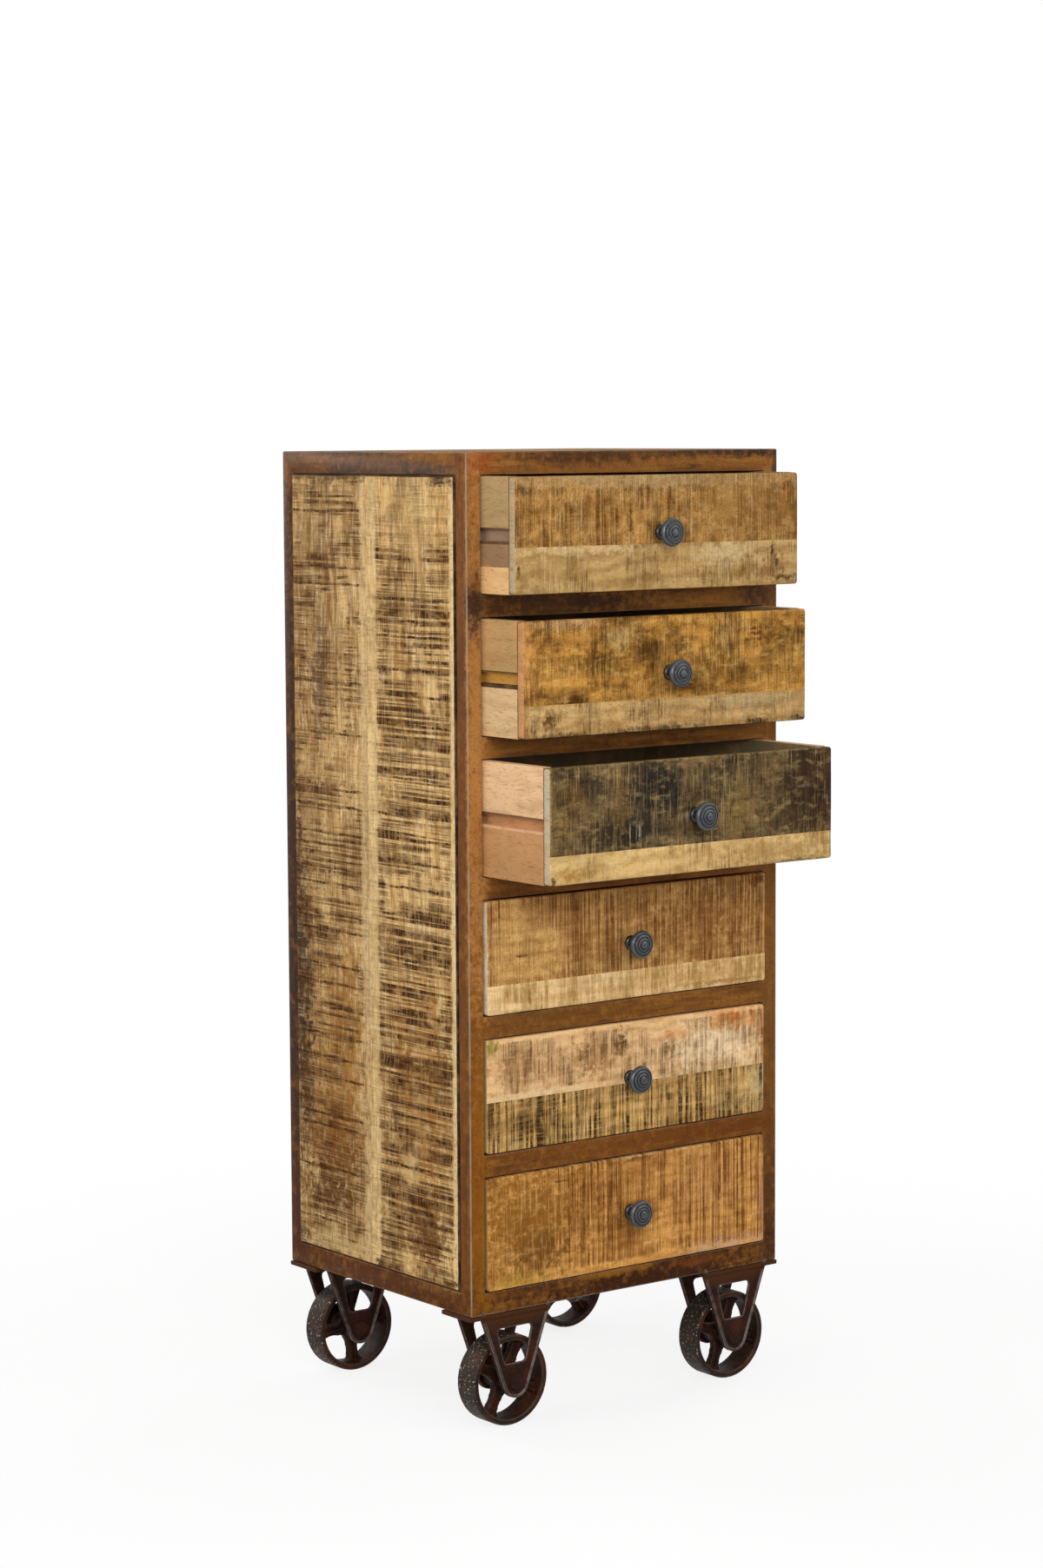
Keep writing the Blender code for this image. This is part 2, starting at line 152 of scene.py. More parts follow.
def join(name, pieces):
    """Makes several pieces one."""
    take(pieces[0])
    for piece in pieces[1:]:
        piece.select_set(True)
    bpy.ops.object.join()
    return named(name)


def copy_of(piece, name, matrix):
    """Another of the same piece, with its own mesh, moved by a matrix."""
    twin = piece.copy()
    twin.data = piece.data.copy()
    twin.name = twin.data.name = name
    twin.data.transform(matrix)
    bpy.context.scene.collection.objects.link(twin)
    return twin


def smooth_below(piece, degrees):
    """Smooth shading, with edges sharper than this kept crisp."""
    take(piece)
    bpy.ops.object.shade_smooth_by_angle(angle=math.radians(degrees))


def mark(piece, name, test):
    """Writes a mask on the piece's points for its finish to read."""
    mask = piece.data.attributes.new(name, "FLOAT", "POINT")
    mask.data.foreach_set("value", [float(test(point)) for point in piece.data.vertices])


def coat(piece, finishes, axis=Z, seams=()):
    """Gives the piece its finish. With seams along an axis, each board between them gets its own."""
    piece.data.materials.clear()
    for finish in finishes:
        piece.data.materials.append(finish)
    for face in piece.data.polygons:
        face.material_index = sum(face.center[axis] > seam for seam in seams)


def recoat(piece, number, test):
    """Gives the faces that pass the test another of the piece's finishes."""
    for face in piece.data.polygons:
        if test(face):
            face.material_index = number


def fit(piece, body, slot, *nodes):
    """The piece rides on a body and stands for these solids, which it hides. The slot is not used."""
    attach(piece, body)
    if nodes:
        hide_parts(*nodes)


# Finishes.

def linear(code):
    """A colour written as an sRGB hex value, for a shader."""
    parts = [int(code[i:i + 2], 16) / 255 for i in (1, 3, 5)]
    return [c / 12.92 if c <= 0.04045 else ((c + 0.055) / 1.055) ** 2.4 for c in parts] + [1.0]


def wire(tree, node, sockets):
    """Fills the sockets of a node with plain values, or links them to other nodes."""
    for key, value in sockets.items():
        socket = node.inputs[key] if isinstance(key, int) else next(
            s for s in node.inputs if s.enabled and s.name == key)
        if isinstance(value, bpy.types.Node):
            value = next(s for s in value.outputs if s.enabled)
        if isinstance(value, bpy.types.NodeSocket):
            tree.links.new(value, socket)
        else:
            socket.default_value = value


def add(tree, kind, sockets=None, **settings):
    """Adds a node with its settings, and fills or links its sockets."""
    node = tree.nodes.new("ShaderNode" + kind)
    for key, value in settings.items():
        setattr(node, key, value)
    wire(tree, node, sockets or {})
    return node


def finish(name, **sockets):
    """A new material, with the values that are the same all over it set on its shader, and the places on its
    piece, for its patterns."""
    material = bpy.data.materials.new(name)
    material.use_nodes = True
    shader = material.node_tree.nodes["Principled BSDF"]
    for key, value in sockets.items():
        shader.inputs[key.replace("_", " ")].default_value = value
    return material, material.node_tree, shader, add(material.node_tree, "TexCoord").outputs["Object"]


def veined(tree, place, size, seed, detail=3.0, low=0.4, high=0.6, most=1.0, least=0.0):
    """A cloudy mask of blots with these sizes in millimetres along X, Y and Z, from least to most."""
    spot = add(tree, "Mapping", {"Vector": place, "Location": [seed * 1.37, seed * 2.11, seed * 3.73],
                                 "Scale": [1000 / s for s in size]})
    cloud = add(tree, "TexNoise", {"Vector": spot, "Scale": 1.0, "Detail": detail, "Roughness": 0.6})
    return add(tree, "MapRange", {"Value": cloud, "From Min": low, "From Max": high, "To Min": least,
                                  "To Max": most}, interpolation_type="SMOOTHSTEP")


def swayed(tree, place, size, reach):
    """Places shifted about by up to half of a reach in metres, over a size in millimetres, as grain wanders."""
    sway = add(tree, "TexNoise", {"Vector": place, "Scale": 1000 / size, "Detail": 2.0})
    return add(tree, "VectorMath", {0: sway.outputs["Color"], 1: [reach] * 3, 2: place}, operation="MULTIPLY_ADD")


def stained(tree, place, stains, soft=0.7, torn=3.0):
    """Marks at known places: middle, half sizes, colour and strength. Their outlines are more or less torn."""
    rag = add(tree, "TexNoise", {"Vector": place, "Scale": 1000 / 9, "Detail": 6.0, "Roughness": 0.7})
    layers = []
    for middle, half, tint, strength in stains:
        # Half of the ragging is taken off again, so that the mark stays where it is put.
        spot = add(tree, "Mapping", {"Vector": place, "Location": [m + torn / 2 * h for m, h in zip(middle, half)],
                                     "Scale": half}, vector_type="TEXTURE")
        shape = add(tree, "VectorMath", {0: rag.outputs["Color"], 1: [torn] * 3, 2: spot}, operation="MULTIPLY_ADD")
        ball = add(tree, "TexGradient", {"Vector": shape}, gradient_type="SPHERICAL")
        mask = add(tree, "MapRange", {"Value": ball.outputs["Fac"], "From Max": soft, "To Max": strength},
                   interpolation_type="SMOOTHSTEP")
        layers.append((mask, tint))
    return layers


def paint(tree, shader, base, layers):
    """Lays colours over a base colour, each through its mask, and gives the shader the result."""
    colour = linear(base)
    for mask, tint in layers:
        colour = add(tree, "Mix", {"Factor": mask, "A": colour, "B": linear(tint)}, data_type="RGBA")
    wire(tree, shader, {"Base Color": colour})


def sawn_mango(name, grain, seed, pale, mid, dark, saw="#3a200c", lines=(4.2, 260), cover=0.49, patchy=0.40,
               depth=0.9, wax=0.30, bleed=0.0, figured=1.0, mottling=0.5, rings=0.3, streaks=0.5, fibre=0.6,
               pored=0.5, brushed=0.25, worn=0.30, unbroken=(0.55, 0.45), light="#e0c592", scores=(), crowns=(),
               bands=(), stains=(), heavy=(), bare=()):
    """Rough-sawn mango wood, brushed and waxed. Straight saw lines cross the grain and hold dark wax, more in
    some patches than in others. Fibres break the lines up, and the heart's rings show as arches. Lines are (width,
    length) in mm; scores are the heights of single deep lines; bands are soft stains, and on a side's front edge a
    pale band, the paler planed edge with a painted highlight on it; heavy marks hold more wax and bare ones none; the
    other numbers are strengths from 0 to 1, or levels of the noise that is cut there."""
    material, tree, shader, place = finish(name, Roughness=0.66, Specular_IOR_Level=0.04)

    def run(along, across):
        size = [across] * 3
        size[grain] = along
        return size

    bent = swayed(tree, place, 110, 0.016)
    level = swayed(tree, place, 160, 0.005)

    figure = veined(tree, bent, run(300, 13), seed, 5.0, 0.36, 0.64, figured)
    mottle = veined(tree, bent, run(70, 42), seed + 2, 5.0, 0.44, 0.72, mottling)
    bundles = veined(tree, bent, run(110, 5), seed + 1, 4.0, 0.46, 0.68, streaks)
    # Fibres are under 1 mm wide; they are drawn at 2.6 mm, and pores at 1.2 mm, so that they show.
    fibres = veined(tree, bent, run(50, 2.6), seed + 8, 3.0, 0.48, 0.70, fibre)
    pores = veined(tree, bent, run(12, 1.2), seed + 3, 2.0, 0.52, 0.70, pored)
    heart = add(tree, "Mapping", {"Vector": bent, "Location": [0.31 + seed * 0.013] * 3,
                                  "Rotation": [0.10, 0.09, 0.08]}, vector_type="TEXTURE")
    arches = add(tree, "TexWave", {"Vector": heart, "Scale": RING_PER_UNIT * 1000 / 9, "Distortion": 5.0, "Detail": 3.0,
                                   "Detail Scale": 0.6}, wave_type="RINGS", rings_direction="XYZ"[grain])
    growth = add(tree, "MapRange", {"Value": arches.outputs["Fac"], "From Min": 0.35, "To Max": rings})

    # Crowns of the grain: nested arches that open downwards.
    arched = []
    for middle, half, tint, strength in crowns:
        spot = add(tree, "Mapping", {"Vector": level, "Location": middle, "Scale": half}, vector_type="TEXTURE")
        nest = add(tree, "TexWave", {"Vector": spot, "Scale": RING_PER_UNIT * 3.5, "Distortion": 1.0, "Detail": 2.0},
                   wave_type="RINGS", rings_direction="SPHERICAL")
        rise = add(tree, "SeparateXYZ", {"Vector": spot}).outputs["XYZ"[grain]]
        shown = add(tree, "MapRange", {"Value": rise, "From Min": -0.4, "From Max": 0.3, "To Max": strength})
        ball = add(tree, "TexGradient", {"Vector": spot}, gradient_type="SPHERICAL")
        inside = add(tree, "MapRange", {"Value": ball.outputs["Fac"], "From Max": 0.25, "To Max": shown})
        arched.append((add(tree, "Math", {0: inside, 1: nest.outputs["Fac"]}, operation="MULTIPLY"), tint))

    # The brush scratches the wood along the saw lines and leaves specks of wax. Both are finer than 1 mm; they are
    # drawn at 1.5 mm so that they show.
    scratches = veined(tree, level, run(1.5, 34), seed + 9, 3.0, 0.48, 0.66, brushed)
    glints = veined(tree, level, run(1.5, 44), seed + 10, 3.0, 0.50, 0.68, brushed)
    specks = veined(tree, place, (1.7, 1.7, 1.7), seed + 11, 2.0, 0.50, 0.70, brushed)
    patches = veined(tree, place, (46, 46, 46), seed + 12, 4.0, 0.40, 0.62, 1.0, 0.25)
    dulled = veined(tree, bent, run(16, 11), seed + 13, 5.0, 0.48, 0.70, worn)
    rubbed = veined(tree, bent, run(18, 9), seed + 14, 5.0, 0.50, 0.72, worn * 0.7)
    scratches = add(tree, "Math", {0: scratches, 1: patches}, operation="MULTIPLY")
    glints = add(tree, "Math", {0: glints, 1: patches}, operation="MULTIPLY")

    smooth = [mask for mask, _ in stained(tree, place, bare, soft=0.4, torn=1.0)]
    waxed = veined(tree, place, run(45, 60), seed + 5, 4.0, patchy, patchy + 0.18)
    for mask, _ in stained(tree, place, heavy):
        waxed = add(tree, "Math", {0: waxed, 1: mask}, operation="MAXIMUM")
    marks = veined(tree, level, run(*lines), seed + 4, 2.0, cover, cover + 0.09)
    thin = veined(tree, level, run(lines[0] * 0.45, lines[1] * 0.4), seed + 6, 2.0, cover + 0.02, cover + 0.12, 0.75)
    marks = add(tree, "Math", {0: marks, 1: thin}, operation="MAXIMUM")
    marks = add(tree, "Math", {0: marks, 1: waxed}, operation="MULTIPLY")
    if scores:
        height = add(tree, "SeparateXYZ", {"Vector": swayed(tree, place, 26, SCORE_SWAY)}).outputs["XYZ"[grain]]
        for score in scores:
            line = add(tree, "Math", {0: height, 1: score + SCORE_SWAY / 2, 2: SCORE_HALF}, operation="COMPARE")
            marks = add(tree, "Math", {0: marks, 1: line}, operation="MAXIMUM")
    for mask in smooth:
        marks = add(tree, "Math", {0: marks, 1: mask}, operation="SUBTRACT", use_clamp=True)
        waxed = add(tree, "Math", {0: waxed, 1: mask}, operation="SUBTRACT", use_clamp=True)
    for along, across, least in ((40, 2.4, unbroken[0]), (9, 24, unbroken[1])):
        breaks = veined(tree, bent, run(along, across), seed + across, 3.0, 0.38, 0.56, 1.0, least)
        marks = add(tree, "Math", {0: marks, 1: breaks}, operation="MULTIPLY")
    deep = add(tree, "Math", {0: marks, 1: depth}, operation="MULTIPLY")
    filled = add(tree, "Math", {0: waxed, 1: wax}, operation="MULTIPLY")
    # Wax that has bled into the wood on both sides of the lines.
    soaked = []
    if bleed:
        bled = veined(tree, level, run(*lines), seed + 4, 2.0, cover - 0.09, cover + 0.06, bleed)
        soaked.append((add(tree, "Math", {0: bled, 1: waxed}, operation="MULTIPLY"), dark))

    paint(tree, shader, pale, [(figure, mid), (growth, dark), (mottle, dark), (bundles, dark), *arched,
                               (fibres, light), *stained(tree, place, bands, torn=1.0),
                               *stained(tree, place, stains), (filled, dark), *soaked, (dulled, dark),
                               (rubbed, light), (scratches, dark), (glints, light), (specks, dark), (pores, dark),
                               (deep, saw)])
    dull = add(tree, "MapRange", {"Value": marks, "To Min": 0.60, "To Max": 0.82})
    hollow = add(tree, "Math", {0: marks, 1: pores}, operation="ADD")
    relief = add(tree, "Bump", {"Height": hollow, "Strength": 0.6, "Distance": 0.0008}, invert=True)
    wire(tree, shader, {"Roughness": dull, "Normal": relief})
    return material


def planed_mango(name, seed, strips):
    """Planed mango strips glued edge to edge, as drawer sides are: each strip has its own tone, the grain
    runs along the drawer, and there is little wax on it. Strips are (height of the lower edge, colour); on the
    drawer sides, thin strips at the groove's edges are painted shade, and one is a painted highlight."""
    material, tree, shader, place = finish(name, Roughness=0.70, Specular_IOR_Level=0.15)
    height = add(tree, "SeparateXYZ", {"Vector": place}).outputs["Z"]
    bent = swayed(tree, place, 70, 0.024)
    levels = [(add(tree, "Math", {0: height, 1: level}, operation="GREATER_THAN"), tint)
              for level, tint in strips[1:]]
    figure = veined(tree, bent, (9, 140, 9), seed, 4.0, 0.42, 0.68, 0.34)
    blush = veined(tree, place, (60, 60, 40), seed + 1, 4.0, 0.46, 0.70, 0.35)
    # Pores are drawn at 1.2 mm so that they show.
    pores = veined(tree, bent, (1.2, 16, 1.2), seed + 2, 2.0, 0.52, 0.70, 0.45)
    paint(tree, shader, strips[0][1], [*levels, (figure, "#8c683f"), (blush, "#cc9460"), (pores, "#6f4c2b")])
    relief = add(tree, "Bump", {"Height": pores, "Strength": 0.35, "Distance": 0.0004}, invert=True)
    wire(tree, shader, {"Normal": relief})
    return material


def rusted_tube(name, half_width, middle_y, half_depth, stains):
    """Square mild-steel tube, left to rust, brushed and waxed: orange over brown, drawn out in streaks along
    each tube, near-black scale in clouds and at the welds, and bare metal on the edges that get rubbed, which on
    the foremost post's edge is partly a painted highlight."""
    material, tree, shader, place = finish(name, Roughness=0.50, Specular_IOR_Level=0.06)
    parts = add(tree, "SeparateXYZ", {"Vector": place})
    off_x = add(tree, "Math", {0: parts.outputs["X"]}, operation="ABSOLUTE")
    from_y = add(tree, "Math", {0: parts.outputs["Y"], 1: middle_y}, operation="SUBTRACT")
    off_y = add(tree, "Math", {0: from_y}, operation="ABSOLUTE")
    wide = add(tree, "Math", {0: off_x, 1: half_width - TUBE}, operation="GREATER_THAN")
    far = add(tree, "Math", {0: off_y, 1: half_depth - TUBE}, operation="GREATER_THAN")
    upright = add(tree, "Math", {0: wide, 1: far}, operation="MULTIPLY")
    streaks = []
    for seed, long, across, low, high, most in ((3.0, 130, 16, 0.40, 0.64, 1.0), (5.0, 90, 9, 0.48, 0.70, 0.85),
                                                (8.0, 60, 8, 0.54, 0.72, 0.85)):
        along_post = veined(tree, place, (across, across, long), seed, 6.0, low, high, most)
        along_rail = veined(tree, place, (long, long, across), seed, 6.0, low, high, most)
        streaks.append(add(tree, "Mix", {"Factor": upright, "A": along_rail, "B": along_post}, data_type="FLOAT"))
    bloom = veined(tree, place, (15, 15, 15), 21.0, 5.0, 0.50, 0.72, 0.34)
    scale = veined(tree, place, (9, 9, 9), 26.0, 5.0, 0.54, 0.74, 0.55)
    # Rust grit is under 1 mm; it is drawn at 2.2 mm so that it shows.
    grit = veined(tree, place, (2.2, 2.2, 2.2), 11.0, 3.0, 0.45, 0.75, 0.45)
    # Bare metal where the edges are rubbed; on the foremost post's edge it is partly a painted highlight.
    rubbed = add(tree, "Attribute", attribute_name="rubbed").outputs["Fac"]
    patches = veined(tree, place, (30, 30, 45), 14.0, 5.0, 0.30, 0.56, 1.0, 0.25)
    bare = add(tree, "Math", {0: rubbed, 1: patches}, operation="MULTIPLY")
    paint(tree, shader, "#875623", [(streaks[0], "#643c15"), (streaks[1], "#a06c2c"), (streaks[2], "#3d2517"),
                                    *stained(tree, place, stains, soft=0.8, torn=2.0), (bloom, "#a86c2a"),
                                    (scale, "#40230f"), (grit, "#4a2a0e"), (bare, "#968a7e")])
    dull = add(tree, "MapRange", {"Value": grit, "From Max": 0.45, "To Min": 0.42, "To Max": 0.66})
    relief = add(tree, "Bump", {"Height": grit, "Strength": 0.35, "Distance": 0.0005}, invert=True)
    wire(tree, shader, {"Roughness": dull, "Normal": relief})
    return material


def cast_iron(name, base, rust, soot, rubbed_to, head=None, speck=None):
    """Sand-cast grey iron, oiled over old rust: a dark pitted skin, redder in the hollows, and lighter where
    ribs and rims are rubbed. A tread also shows pale grit from the floor, a bracket's head the frame's rust."""
    material, tree, shader, place = finish(name, Roughness=0.58, Specular_IOR_Level=0.06)
    cloud = veined(tree, place, (26, 26, 26), 2.0, 6.0, 0.42, 0.66, 0.85)
    black = veined(tree, place, (15, 15, 15), 6.0, 5.0, 0.50, 0.70, 0.80)
    # The sand's grain is about 0.5 mm; it is drawn at 1.8 mm so that it shows.
    sand = veined(tree, place, (1.8, 1.8, 1.8), 9.0, 3.0, 0.42, 0.72, 0.55)
    layers = [(cloud, rust), (black, soot), (sand, soot)]
    if head:
        height = add(tree, "SeparateXYZ", {"Vector": place}).outputs["Z"]
        level, tint = head
        near_rail = add(tree, "MapRange", {"Value": height, "From Min": level, "From Max": level + RUST_FADE})
        layers.append((near_rail, tint))
    ridges = add(tree, "Attribute", attribute_name="rubbed").outputs["Fac"]
    patches = veined(tree, place, (9, 9, 9), 12.0, 4.0, 0.30, 0.56, 1.0, 0.3)
    bare = add(tree, "Math", {0: ridges, 1: patches}, operation="MULTIPLY")
    layers.append((bare, rubbed_to))
    if speck:
        tread = add(tree, "Attribute", attribute_name="tread").outputs["Fac"]
        for size, low, high, tint in ((6.0, 0.40, 0.66, "#2b2a24"), (2.6, 0.62, 0.67, speck)):
            dust = veined(tree, place, [size] * 3, 17.0 + size, 3.0, low, high, 0.85)
            layers.append((add(tree, "Math", {0: tread, 1: dust}, operation="MULTIPLY"), tint))
    paint(tree, shader, base, layers)
    dull = add(tree, "MapRange", {"Value": sand, "From Max": 0.55, "To Min": 0.46, "To Max": 0.74})
    shine = add(tree, "Math", {0: bare, 1: 0.5}, operation="MULTIPLY")
    relief = add(tree, "Bump", {"Height": sand, "Strength": 0.5, "Distance": 0.0006}, invert=True)
    wire(tree, shader, {"Roughness": dull, "Metallic": shine, "Normal": relief})
    return material


def turned_knob_iron(name):
    """Cast and turned iron with a blue-black oil finish, burnished on the rings by hands."""
    material, tree, shader, place = finish(name, Roughness=0.24, Specular_IOR_Level=0.50)
    cloud = veined(tree, place, (7, 7, 7), 4.0, 5.0, 0.40, 0.64)
    # Pits are under 0.5 mm; they are drawn at 1.6 mm so that they show.
    pits = veined(tree, place, (1.6, 1.6, 1.6), 7.0, 3.0, 0.50, 0.74, 0.6)
    rubbed = add(tree, "Attribute", attribute_name="rubbed").outputs["Fac"]
    paint(tree, shader, "#25292c", [(cloud, "#14171a"), (rubbed, "#82868a"), (pits, "#0f1113")])
    dull = add(tree, "MapRange", {"Value": pits, "From Max": 0.6, "To Min": 0.18, "To Max": 0.46})
    relief = add(tree, "Bump", {"Height": pits, "Strength": 0.4, "Distance": 0.0004}, invert=True)
    wire(tree, shader, {"Roughness": dull, "Metallic": rubbed, "Normal": relief})
    return material


# Places for marks: half sizes in metres of a mark across the surface that it lies on.

FRONT_MARK_DEPTH = 0.015
THROUGH_BOTH_SIDES = 5.0


def on_front(number, marks):
    """Marks on a drawer's front. Each is the share of the width from the left, the share of the height from the
    top, the width and the height in mm, and then its colour and strength, if it isn't plain and full."""
    low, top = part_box(f"drawer_front_{number}")
    return [((low.x + u * (top.x - low.x), low.y, top.z - v * (top.z - low.z)),
             (wide / 2000, FRONT_MARK_DEPTH, high / 2000), *(look or (None, 1.0)))
            for u, v, wide, high, *look in marks]


def on_side(marks):
    """Marks on both sides, written in the same way, with the shares counted from the back and from the top."""
    low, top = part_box("panel_left")
    return [((low.x, top.y - u * (top.y - low.y), top.z - v * (top.z - low.z)),
             (THROUGH_BOTH_SIDES, wide / 2000, high / 2000), *(look or (None, 1.0)))
            for u, v, wide, high, *look in marks]


# The iron frame: a box cut along the tubes, the openings taken out, and the tube's depth added inwards.

front_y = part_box("post_front_left")[0].y
back_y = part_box("post_back_left")[1].y
side_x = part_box("post_front_right")[1].x
base_z, top_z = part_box("post_front_left")[0].z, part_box("post_front_left")[1].z
bay_levels = sorted(corner.z for number in range(1, 6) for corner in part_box(f"rail_front_divider_{number}"))


def in_opening(middle, normal):
    """True on the faces of the box that are drawer bays, panels or the open back."""
    inside_x = abs(middle.x) < side_x - TUBE
    inside_y = front_y + TUBE < middle.y < back_y - TUBE
    inside_z = base_z + RAIL < middle.z < top_z - RAIL
    if abs(normal.z) > 0.5:
        return inside_x and inside_y
    if abs(normal.x) > 0.5:
        return inside_y and inside_z
    on_divider = any(low < middle.z < high for low, high in zip(bay_levels[::2], bay_levels[1::2]))
    return inside_x and inside_z and not (normal.y < 0 and on_divider)


# The radius of the tubes' edges, and how bare hands rub them: most of all on the post that stands foremost, whose
# bright edge line is partly a painted highlight.
FRAME_ROUND = 0.0018
NEAR_POST_REACH = 0.004
NEAR_POST_RUB_AND_HIGHLIGHT, EDGE_RUB = 0.75, 0.15
iron_frame = block("iron_frame", (-side_x, front_y, base_z), (side_x, back_y, top_z))
edit(iron_frame)
slice_at(X, (TUBE - side_x, side_x - TUBE))
slice_at(Y, (front_y + TUBE, back_y - TUBE))
slice_at(Z, [base_z + RAIL, *bay_levels, top_z - RAIL])
pick(in_opening)
bpy.ops.mesh.delete(type="FACE")
close()
shape_by(iron_frame, "SOLIDIFY", thickness=TUBE, offset=-1, use_even_offset=True)
edit(iron_frame)
bpy.ops.mesh.select_all(action="SELECT")
bpy.ops.mesh.remove_doubles(threshold=0.0001)
bpy.ops.mesh.dissolve_degenerate(threshold=0.0001)
bpy.ops.mesh.normals_make_consistent(inside=False)
bpy.ops.mesh.dissolve_limited(angle_limit=math.radians(2))
bpy.ops.mesh.select_mode(type="EDGE")
bpy.ops.mesh.select_all(action="DESELECT")
bpy.ops.mesh.edges_select_sharp(sharpness=math.radians(40))
bpy.ops.mesh.bevel(offset=FRAME_ROUND, segments=3, affect="EDGES")
close()
flat = {i for face in iron_frame.data.polygons if not face.select for i in face.vertices}
near_post = Vector((-side_x, front_y))
mark(iron_frame, "rubbed", lambda point: 0.0 if point.index in flat else
     NEAR_POST_RUB_AND_HIGHLIGHT if (point.co.xy - near_post).length < NEAR_POST_REACH else EDGE_RUB)
smooth_below(iron_frame, 40)

# Stains on the iron, and one painted shade: middle and half sizes in metres, colour, strength. Those on one face reach
# only through its skin.
FRONT, LEFT, SKIN = -0.107, -0.226, 0.007
frame_stains_and_shade = [
    # Along the back post the tube is almost black, and red-brown at its foot.
    ((-0.225, 0.245, 0.62), (0.060, 0.060, 1.10), "#2c1c16", 0.95),
    ((-0.225, 0.245, 0.18), (0.050, 0.050, 0.12), "#48211a", 0.85),
    ((-0.225, 0.245, 1.090), (0.030, 0.050, 0.060), "#6b4422", 0.85),
    # The left face of the front post is browner than its front, which is orange.
    ((LEFT, -0.096, 0.60), (SKIN, 0.020, 1.40), "#63391a", 0.75),
    ((-0.213, FRONT, 0.78), (0.024, SKIN, 0.56), "#b88046", 0.80),
    ((-0.213, FRONT, 0.26), (0.024, SKIN, 0.42), "#85500c", 0.80),
    # A red bloom on the head of the post.
    ((-0.205, FRONT, 1.082), (0.034, SKIN, 0.026), "#94481c", 0.75),
    # Weld scorch where the first divider meets the post, and at its other end. The broad dark band over most of the
    # first divider is painted shade under the open top drawer.
    ((-0.214, FRONT, 0.925), (0.016, SKIN, 0.055), "#262125", 0.90),
    ((-0.180, FRONT, 0.925), (0.300, SKIN, 0.030), "#3c230e", 0.85),
    ((-0.04, FRONT, 0.922), (0.070, SKIN, 0.014), "#2a1a10", 0.80),
    ((0.195, FRONT, 0.925), (0.040, SKIN, 0.030), "#2c1f16", 0.85),
    # Scale along the top rail, on its upper edge, and scuffs above the side panel.
    ((-0.05, FRONT, 1.089), (0.170, SKIN, 0.017), "#3f2612", 0.90),
    ((0.12, FRONT, 1.092), (0.130, SKIN, 0.012), "#33231a", 0.90),
    ((0.222, FRONT, 1.05), (0.010, SKIN, 0.070), "#2f211a", 0.80),
    ((0.195, FRONT, 1.092), (0.060, SKIN, 0.011), "#231a14", 0.95),
    ((LEFT, 0.10, 1.070), (SKIN, 0.095, 0.015), "#1e1e24", 1.00),
    ((LEFT, -0.02, 1.071), (SKIN, 0.075, 0.017), "#1e1e24", 1.00),
    ((LEFT, 0.12, 1.093), (SKIN, 0.190, 0.007), "#2d1f18", 0.90),
    ((LEFT, 0.07, 1.080), (SKIN, 0.220, 0.020), "#5a3e2a", 0.75),
    # Darker, redder iron towards the floor on the right.
    ((0.215, FRONT, 0.45), (0.030, SKIN, 0.70), "#70491f", 0.70),
    ((0.215, FRONT, 0.20), (0.034, SKIN, 0.12), "#4c2c14", 0.80),
    ((0.03, FRONT, 0.145), (0.300, 0.020, 0.100), "#351a0a", 1.0),
    ((-0.02, FRONT, 0.158), (0.090, SKIN, 0.008), "#93601a", 0.80),
    ((0.10, FRONT, 0.152), (0.050, SKIN, 0.009), "#6e3a14", 0.75),
    ((0.05, FRONT, 0.303), (0.360, SKIN, 0.026), "#65360f", 0.75),
    ((-0.08, FRONT, 0.459), (0.240, SKIN, 0.030), "#5a3712", 0.70),
    ((LEFT, 0.07, 0.147), (SKIN, 0.36, 0.040), "#4c2501", 1.0),
]
frame_iron = rusted_tube("rusted_waxed_steel_tube", side_x, (front_y + back_y) / 2, (back_y - front_y) / 2,
                         frame_stains_and_shade)
coat(iron_frame, [frame_iron])
fit(iron_frame, "case", "frame_iron",
    *[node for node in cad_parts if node.startswith(("post_", "rail_"))])


# Sawn boards.

sawn_surface = bpy.data.textures.new("sawn_surface", "CLOUDS")
sawn_surface.noise_scale = 0.035
sawn_surface.noise_depth = 3

# Depths of the hollows in a face, the gap that shows round a side panel, how far a tongue goes past a panel's box,
# and the thickness of a side panel's tongue.
SAWN, HALF_PLANED = 0.0007, 0.0006
SIDE_GAP = 0.0018
TONGUE = 0.0005
SIDE_TONGUE = 0.010


def board(name, low, high, ease, cell, roughness, axis=Z, seams=(), corner=None):
    """A sawn board: a block cut into cells and at its glue lines, with eased edges, round corners where the
    front shows them, and an uneven surface that only ever goes inwards. All sizes are in metres."""
    piece = block(name, low, high)
    edit(piece)
    if corner:
        choose("EDGE", lambda edge: abs(edge.verts[0].co.y - edge.verts[1].co.y) > 0.001)
        bpy.ops.mesh.bevel(offset=corner, segments=4, affect="EDGES")
        bpy.ops.mesh.select_mode(type="FACE")
    for along in (X, Y, Z):
        count = max(1, round((high[along] - low[along]) / cell))
        slice_at(along, [low[along] + (high[along] - low[along]) * i / count for i in range(1, count)])
    slice_at(axis, seams)
    close()
    shape_by(piece, "BEVEL", width=ease, segments=3, limit_method="ANGLE", angle_limit=math.radians(40))
    shape_by(piece, "DISPLACE", texture=sawn_surface, texture_coords="LOCAL", strength=roughness, mid_level=1.0)
    smooth_below(piece, 35)
    return piece


# Near-black wood that paints the shade in the gaps round the panels, on the tongues and on the side panels' edge faces.
painted_gap_shade = planed_mango("planed_mango_painted_shade_in_the_gap", 300.0, ((0, "#2e1f14"),))


def tongued(piece, low, high, through, start, end):
    """The same board with a tongue, near-black as painted shade, that fills the gap to the tubes behind its face. It
    goes past the panel's box all round, and from start to end along the axis through the panel."""
    past = Vector([TONGUE] * 3)
    low, high = low - past, high + past
    low[through], high[through] = start, end
    tongue = block("tongue", low, high)
    shape_by(tongue, "BEVEL", width=0.0004, segments=1)
    coat(tongue, [painted_gap_shade])
    return join(piece.name, [piece, tongue])


